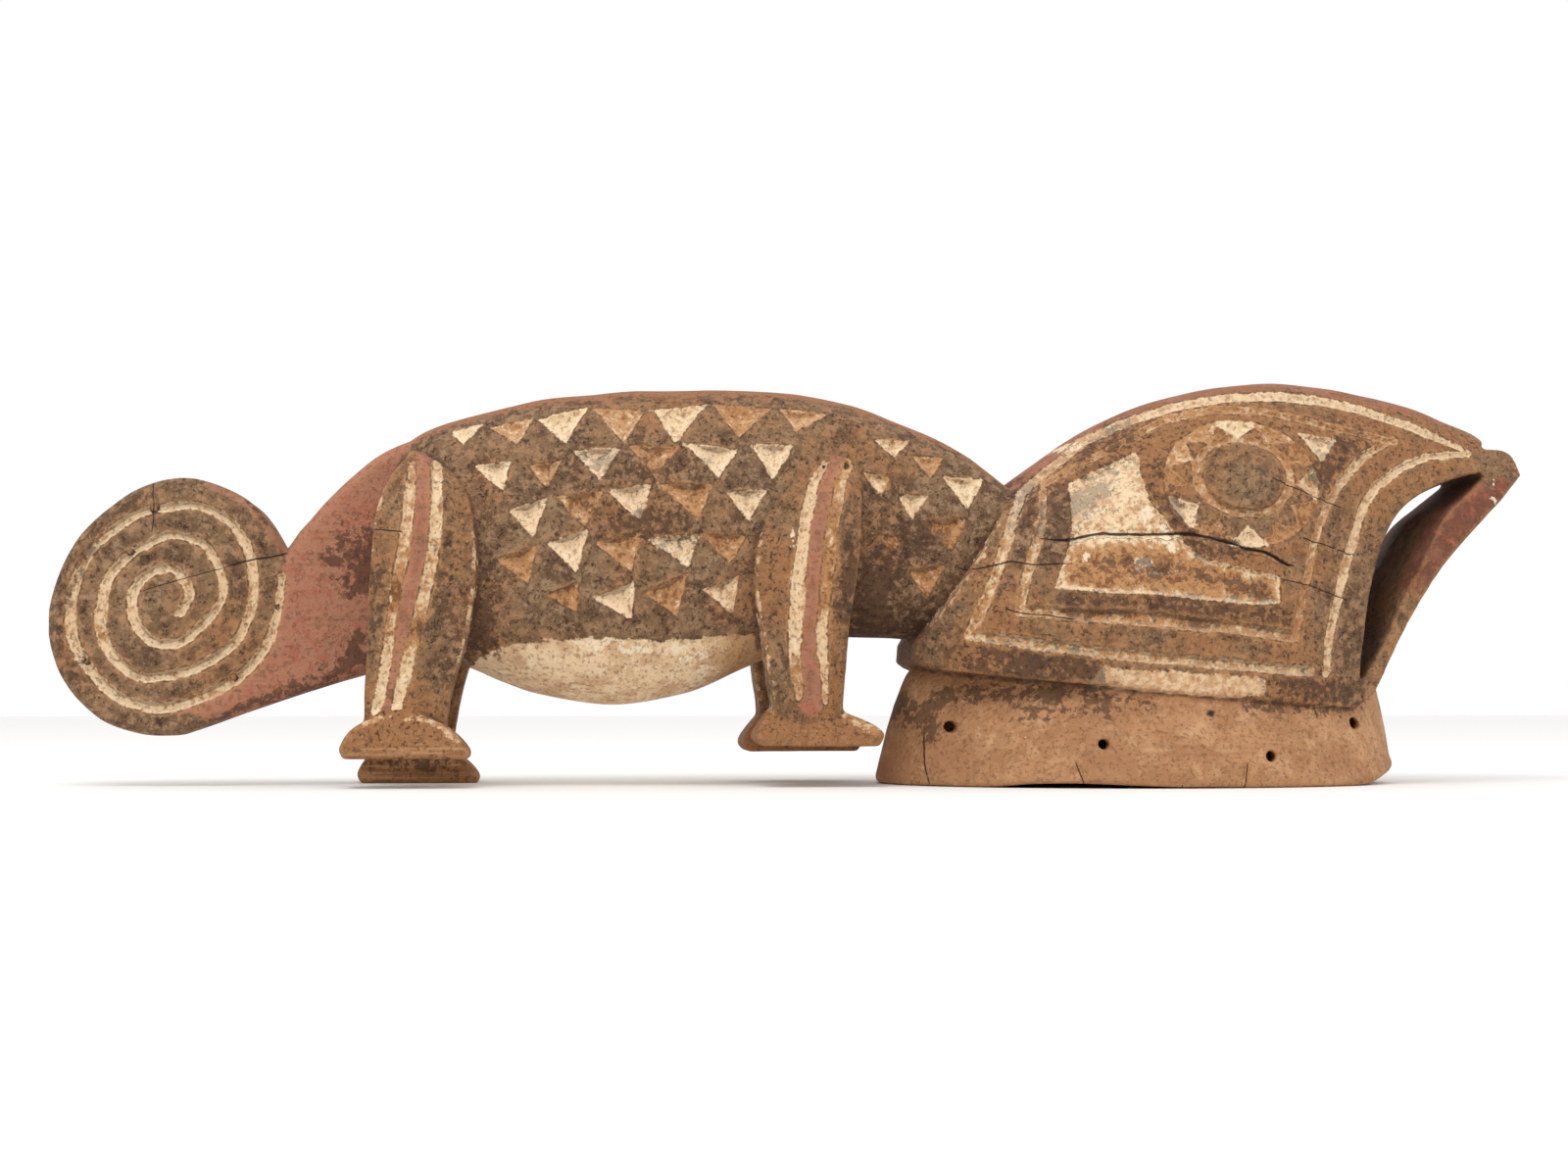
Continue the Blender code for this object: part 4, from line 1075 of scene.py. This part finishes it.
# Painted shade: points on the walls of the hollow and of the mouth slot.
inner = np.maximum(ease_in(3.0 - in_cavity, 0, 2), ease_in(2.2 - in_mouth, 0, 1.2))
knot_head = np.hypot(x - worn_knot[0], (z - worn_knot[1]) * 1.6)
knot_collar = np.hypot(x - collar_knot[0], (z - collar_knot[1]) * 1.3)
knot = np.where(on_head, knot_head, np.where(is_form("collar"), knot_collar, 50.0))
hind_feet = [forms.index(name) for name in ("hind near foot", "hind far foot")]
sawn = np.isin(form, hind_feet) * ease_in(heights, 30.0, 22.0)
fields = {"edge": edge, "tone": tone, "red": np.clip(red, -6, 6), "deep": deep, "warm": warm,
          "bare": np.clip(bare, -6, 6), "coat": coat, "soot_and_shade": soot_and_shade, "chalky": chalky,
          "inner": inner, "bend": bend, "wear": wear, "offset": offset, "half_width": half_width,
          "knot": knot, "rim": np.clip(rim, 0, 20), "sawn": sawn,
          "fresh": np.where(on_head, patch, -6.0).clip(-6, 6)}
for name, values in fields.items():
    if name in ("warm", "soot_and_shade", "inner", "deep"):
        values = spread(values, edges, 2, 0.4)
    attribute = mask.data.attributes.new(name, "FLOAT", "POINT")
    attribute.data.foreach_set("value", values.astype(np.float32))
points = (np.clip(points, low, high) - (middle_length, 0, 0)) * MM
mask.data.vertices.foreach_set("co", points.astype(np.float32).ravel())
mask.data.polygons.foreach_set("use_smooth", np.ones(len(mask.data.polygons), bool))
mask.data.update()


class Strand:
    """A value in a material's node tree, on which Python's arithmetic adds Math nodes."""

    def __init__(self, tree, socket=None):
        self.tree, self.socket = tree, socket

    def node(self, kind, settings=None, sockets=None, output=0):
        """Adds a node: its settings first, then its sockets' values or links."""
        made = self.tree.nodes.new(kind)
        for name, value in (settings or {}).items():
            setattr(made, name, value)
        for name, value in (sockets or {}).items():
            if isinstance(value, Strand):
                self.tree.links.new(value.socket, made.inputs[name])
            else:
                made.inputs[name].default_value = value
        return Strand(self.tree, made.outputs[output])

    def math(self, operation, *values):
        """Adds a Math node."""
        return self.node("ShaderNodeMath", {"operation": operation}, dict(enumerate(values)))

    def __add__(self, other):
        return self.math("ADD", self, other)

    def __sub__(self, other):
        return self.math("SUBTRACT", self, other)

    def __rsub__(self, other):
        return self.math("SUBTRACT", other, self)

    def __mul__(self, other):
        return self.math("MULTIPLY", self, other)

    def __neg__(self):
        return self.math("MULTIPLY", self, -1.0)

    __radd__ = __add__
    __rmul__ = __mul__

    def size(self):
        """This value without its sign."""
        return self.math("ABSOLUTE", self)

    def step(self, low, high):
        """Smooth step from 0 at low to 1 at high."""
        return self.node("ShaderNodeMapRange", {"interpolation_type": "SMOOTHSTEP"},
                         {"Value": self, "From Min": low, "From Max": high})

    def tint(self, colour, other):
        """This value mixes from one colour to another."""
        return self.node("ShaderNodeMix", {"data_type": "RGBA"}, {0: self, 6: colour, 7: other}, 2)

    def read(self, name):
        """A value that the mesh carries at its points."""
        return self.node("ShaderNodeAttribute", {"attribute_name": name}, {}, "Fac")


def colour(red, green, blue):
    """A paint's colour, given as it looks in daylight from 0 to 255."""
    shares = [value / 255 for value in (red, green, blue)]
    linear = [s / 12.92 if s < 0.04045 else ((s + 0.055) / 1.055) ** 2.4 for s in shares]
    return (*linear, 1.0)


ground_dark = colour(92, 65, 44)
ground_mid = colour(130, 99, 70)
ground_pale = colour(156, 127, 98)
ground_warm = colour(158, 107, 65)
speckle = colour(50, 34, 24)
dust = colour(172, 146, 114)
cream = colour(232, 202, 162)
chalk = colour(242, 220, 188)
ochre = colour(186, 136, 90)
umber = colour(134, 88, 54)
red_pale = colour(172, 118, 92)
red_deep = colour(112, 68, 50)
red_streak = colour(164, 84, 64)
bare_wood = colour(184, 136, 96)
bare_pale = colour(204, 160, 118)
bare_brown = colour(156, 108, 72)
# Soot brown serves for the stains, the dark lines along the cuts and the painted shade.
soot_and_shade_brown = colour(72, 48, 34)
crack_dark = colour(30, 20, 14)

wood = bpy.data.materials.new("old painted wood")
wood.use_nodes = True
tree = wood.node_tree
shader = tree.nodes["Principled BSDF"]
maker = Strand(tree)
place = maker.node("ShaderNodeTexCoord", output="Object")


def clouds(size_mm, detail, roughness=0.55, stretch=(1.0, 1.0, 1.0), shift=0.0):
    """Uneven field from 0 to 1 whose lumps have a size in millimetres."""
    scale = tuple(s * 1000.0 / size_mm for s in stretch)
    moved = maker.node("ShaderNodeMapping", {}, {"Vector": place, "Scale": scale,
                                                  "Location": (shift, shift, shift)})
    return maker.node("ShaderNodeTexNoise", {"noise_dimensions": "3D"},
                      {"Vector": moved, "Scale": 1.0, "Detail": detail, "Roughness": roughness})


edge, tone, red = maker.read("edge"), maker.read("tone"), maker.read("red")
deep, warm, bare = maker.read("deep"), maker.read("warm"), maker.read("bare")
coat, soot_and_shade, chalky = maker.read("coat"), maker.read("soot_and_shade"), maker.read("chalky")
inner, bend, offset = maker.read("inner"), maker.read("bend"), maker.read("offset")
half_width, knot, rim = maker.read("half_width"), maker.read("knot"), maker.read("rim")
wear = maker.read("wear")

broad = clouds(60.0, 3.0)
patchy = clouds(18.0, 6.0, 0.65, shift=4.0)
mottle = clouds(6.0, 5.0, 0.65, shift=9.0)
fine = clouds(2.6, 4.0, 0.7, shift=2.0)
grit = clouds(1.3, 3.0, 0.7, shift=5.0)
grain = clouds(3.0, 5.0, 0.6, (0.05, 1.0, 1.0), 6.0)
chips = clouds(4.2, 5.0, 0.65, shift=13.0)

crust = patchy.step(0.38, 0.58).tint(ground_dark, ground_mid)
crust = (mottle.step(0.46, 0.62) * 0.8).tint(crust, ground_pale)
warm_patches = (warm * 0.7 + (broad - 0.5) * 1.0 + (mottle - 0.5) * 0.7).step(0.08, 0.42)
crust = (warm_patches * 0.8).tint(crust, ground_warm)
crust = (chips.step(0.55, 0.64) * 0.6).tint(crust, ground_dark)
crust = (fine.step(0.56, 0.64) * 0.8).tint(crust, speckle)
crust = (grit.step(0.58, 0.66) * 0.6).tint(crust, dust)
crust = (maker.read("sawn") * grain.step(0.50, 0.60) * 0.5).tint(crust, bare_pale)
crust = (maker.read("sawn") * (1 - grain.step(0.38, 0.48)) * 0.5).tint(crust, umber)

red_coat = (deep + (patchy - 0.5) * 1.6).step(0.0, 1.0).tint(red_pale, red_deep)
red_coat = (mottle.step(0.5, 0.66) * 0.6).tint(red_coat, red_streak)
red_coat = (grain.step(0.52, 0.66) * 0.35).tint(red_coat, umber)
red_coat = (fine.step(0.56, 0.66) * 0.5).tint(red_coat, ground_mid)
worn_red = (deep.step(0.32, 0.5) * 0.45 + (patchy - 0.5) * 1.6).step(0.1, 0.5)
worn_red = worn_red * (1 - deep.step(0.6, 0.75)) * 0.75
red_coat = worn_red.tint(red_coat, ground_warm)
red_mask = (red + (mottle - 0.5) * 14.0 + (chips - 0.5) * 9.0).step(-0.5, 1.0)
colours = red_mask.tint(crust, red_coat)
on_rim = (1 - (rim + (mottle - 0.5) * 4.0).step(rim_strip - 1.2, rim_strip)) * 0.6
colours = on_rim.tint(colours, red_pale)

wood_bare = (grain.step(0.42, 0.68) * 0.6).tint(bare_wood, bare_brown)
wood_bare = (patchy.step(0.45, 0.65) * 0.7).tint(wood_bare, bare_pale)
wood_bare = ((broad + (mottle - 0.5) * 0.5).step(0.48, 0.60) * 0.6).tint(wood_bare, bare_brown)
wood_bare = (fine.step(0.58, 0.68) * 0.4).tint(wood_bare, umber)
bare_mask = (bare + (mottle - 0.5) * 10.0 + (chips - 0.5) * 6.0).step(-0.6, 0.6)
colours = bare_mask.tint(colours, wood_bare)

fresh = (maker.read("fresh") + (mottle - 0.5) * 10.0 + (chips - 0.5) * 6.0).step(-0.6, 0.6)
colours = (fresh * 0.8).tint(colours, (chips.step(0.4, 0.6)).tint(bare_pale, cream))

paint = tone + (mottle - 0.5) * 1.3 + (chips - 0.5) * 1.6
pale = paint.step(0.05, 0.36).tint(umber, ochre)
pale = paint.step(0.45, 0.85).tint(pale, cream)
chalked = (chips + (patchy - 0.5) * 0.9).step(0.56, 0.66) * tone.step(0.6, 0.95)
pale = (chalked * 0.8).tint(pale, chalk)
pale = (fine.step(0.56, 0.66) * 0.55).tint(pale, umber)
in_cut = 1 - (edge + (chips - 0.5) * 4.0 + (fine - 0.5) * 2.4).step(-0.2, 0.6)
flaked = (patchy + (chips - 0.5) * 0.9).step(0.28, 0.38) * 0.3 + 0.7
colours = (in_cut * flaked).tint(colours, pale)

gesso = (patchy.step(0.42, 0.6) * 0.6).tint(cream, bare_wood)
gesso = (mottle.step(0.54, 0.66) * 0.7).tint(gesso, chalk)
gesso = (chips.step(0.58, 0.66) * 0.7).tint(gesso, ochre)
gesso = (fine.step(0.58, 0.66) * 0.5).tint(gesso, umber)
gesso = (deep.step(0.1, 0.9) * 0.75).tint(gesso, ochre)
coat_mask = (coat + (mottle - 0.5) * 8.0 + (chips - 0.5) * 5.0).step(-0.5, 0.6)
colours = coat_mask.tint(colours, gesso)
chalk_mask = (chalky + (mottle - 0.5) * 22.0 + (chips - 0.5) * 16.0).step(0.4, 1.2)
colours = (chalk_mask * 0.85).tint(colours, chalk)

# Soot brown over the listed stains, and painted shade at the neck.
stain_and_shade_mask = (soot_and_shade + (patchy - 0.5) * 2.6 + (chips - 0.5) * 3.0).step(0.40, 0.66)
colours = (stain_and_shade_mask * soot_and_shade.step(0.05, 0.3) * 0.72).tint(colours, soot_and_shade_brown)
# Painted shade and highlight: in the cuts, facets that face down are darkened and facets that face
# up are lightened, as light from above would do.
sloping = maker.node("ShaderNodeNewGeometry", output="Normal")
sloping = maker.node("ShaderNodeSeparateXYZ", {}, {"Vector": sloping}, "Z")
painted_overhang_shade = (-sloping + (fine - 0.5) * 0.5).step(0.2, 0.55) * in_cut
colours = (painted_overhang_shade * 0.5).tint(colours, soot_and_shade_brown)
sunlit = (sloping + (fine - 0.5) * 0.5).step(0.1, 0.5) * in_cut * tone.step(0.3, 0.8)
colours = (sunlit * 0.3).tint(colours, chalk)
# Painted shade: creases that bend inwards are darkened, except inside the cuts.
painted_crease_shade = (bend + (fine - 0.5) * 0.3).step(0.10, 0.5) * (0.8 - in_cut * 0.8)
colours = painted_crease_shade.tint(colours, soot_and_shade_brown)
on_ridge = (-bend + (mottle - 0.5) * 1.6 + (fine - 0.5) * 1.0).step(0.16, 0.5) * (1 - in_cut)
colours = (on_ridge * 0.4).tint(colours, ochre)
rubbed = (wear + (mottle - 0.5) * 8.0 + (chips - 0.5) * 8.0).step(-0.3, 0.7)
colours = (rubbed * 0.75).tint(colours, (chips.step(0.45, 0.6)).tint(ochre, cream))
outlined = (1 - (edge - 0.5).size().step(0.2, 0.9)) * (mottle + (chips - 0.5) * 0.8).step(0.46, 0.6)
colours = (outlined * 0.6).tint(colours, soot_and_shade_brown)
# Painted shade on the walls of the hollow and the mouth slot.
colours = (inner * 0.25).tint(colours, soot_and_shade_brown)
colours = (1 - (knot + (mottle - 0.5) * 4.0).step(1.0, 4.5)).tint(colours, speckle)
crack_mask = 1 - (offset.size() - half_width + (fine - 0.5) * 0.5).step(-0.12, 0.2)
crack_mask = crack_mask * half_width.step(0.02, 0.1)
colours = (crack_mask * 0.9).tint(colours, crack_dark)

relief = fine * 0.7 + grit * 0.4 + mottle * 0.8 + chips * 0.6 + grain * 0.35
relief = relief - crack_mask * 1.2 - fine.step(0.56, 0.64) * 0.4
bump = maker.node("ShaderNodeBump", {}, {"Strength": 1.0, "Distance": 0.0013, "Height": relief})
roughness = 0.8 + (mottle - 0.5) * 0.2 + (patchy - 0.5) * 0.1
tree.links.new(colours.socket, shader.inputs["Base Color"])
tree.links.new(roughness.socket, shader.inputs["Roughness"])
tree.links.new(bump.socket, shader.inputs["Normal"])
shader.inputs["Specular IOR Level"].default_value = 0.3
mask.data.materials.clear()
mask.data.materials.append(wood)
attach(mask, "root")
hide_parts("chameleon_mask")

# Studio. A pale floor that runs on behind, a broad soft light from above at the tail's end, and a
# weaker one from the jaw's end. The camera looks slightly up at the mask from its right side.
floor_size = 12.0
floor_colour = colour(246, 245, 243)
aim = (-0.011, 0.0, 0.1194)
camera_distance = 1.5
camera_azimuth = math.radians(-5.4)
camera_elevation = math.radians(-2.6)
picture_width = 1600.0
focal_pixels = 2500.0
film_width = 36.0

mesh = bpy.data.meshes.new("floor")
half = floor_size / 2
mesh.from_pydata([(-half, -half, 0), (half, -half, 0), (half, half, 0), (-half, half, 0)], [],
                 [(0, 1, 2, 3)])
floor = bpy.data.objects.new("floor", mesh)
bpy.context.scene.collection.objects.link(floor)
paper = bpy.data.materials.new("pale paper")
paper.use_nodes = True
paper.node_tree.nodes["Principled BSDF"].inputs["Base Color"].default_value = floor_colour
paper.node_tree.nodes["Principled BSDF"].inputs["Roughness"].default_value = 0.9
mesh.materials.append(paper)


def add_light(name, place, size, power):
    """A soft square light that looks at the mask."""
    lamp = bpy.data.lights.new(name, "AREA")
    lamp.size = size
    lamp.energy = power
    light = bpy.data.objects.new(name, lamp)
    light.location = place
    towards = np.array(aim) - place
    yaw = math.atan2(towards[1], towards[0]) - math.pi / 2
    pitch = math.atan2(towards[2], math.hypot(towards[0], towards[1])) + math.pi / 2
    light.rotation_euler = (pitch, 0, yaw)
    bpy.context.scene.collection.objects.link(light)


add_light("key light", (-0.6, -0.9, 1.9), 1.1, 15.0)
add_light("side light", (1.9, -1.2, 1.0), 1.2, 4.0)
world = bpy.data.worlds.new("studio")
world.use_nodes = True
world.node_tree.nodes["Background"].inputs["Color"].default_value = (1, 1, 1, 1)
world.node_tree.nodes["Background"].inputs["Strength"].default_value = 1.0
bpy.context.scene.world = world
bpy.context.scene.view_settings.view_transform = "Standard"

lens = bpy.data.cameras.new("camera")
lens.lens = film_width * focal_pixels / picture_width
lens.sensor_width = film_width
camera = bpy.data.objects.new("camera", lens)
level = math.cos(camera_elevation)
camera.location = (aim[0] + camera_distance * math.sin(camera_azimuth) * level,
                   aim[1] - camera_distance * math.cos(camera_azimuth) * level,
                   aim[2] + camera_distance * math.sin(camera_elevation))
camera.rotation_euler = (math.pi / 2 - camera_elevation, 0, camera_azimuth)
bpy.context.scene.collection.objects.link(camera)
bpy.context.scene.camera = camera
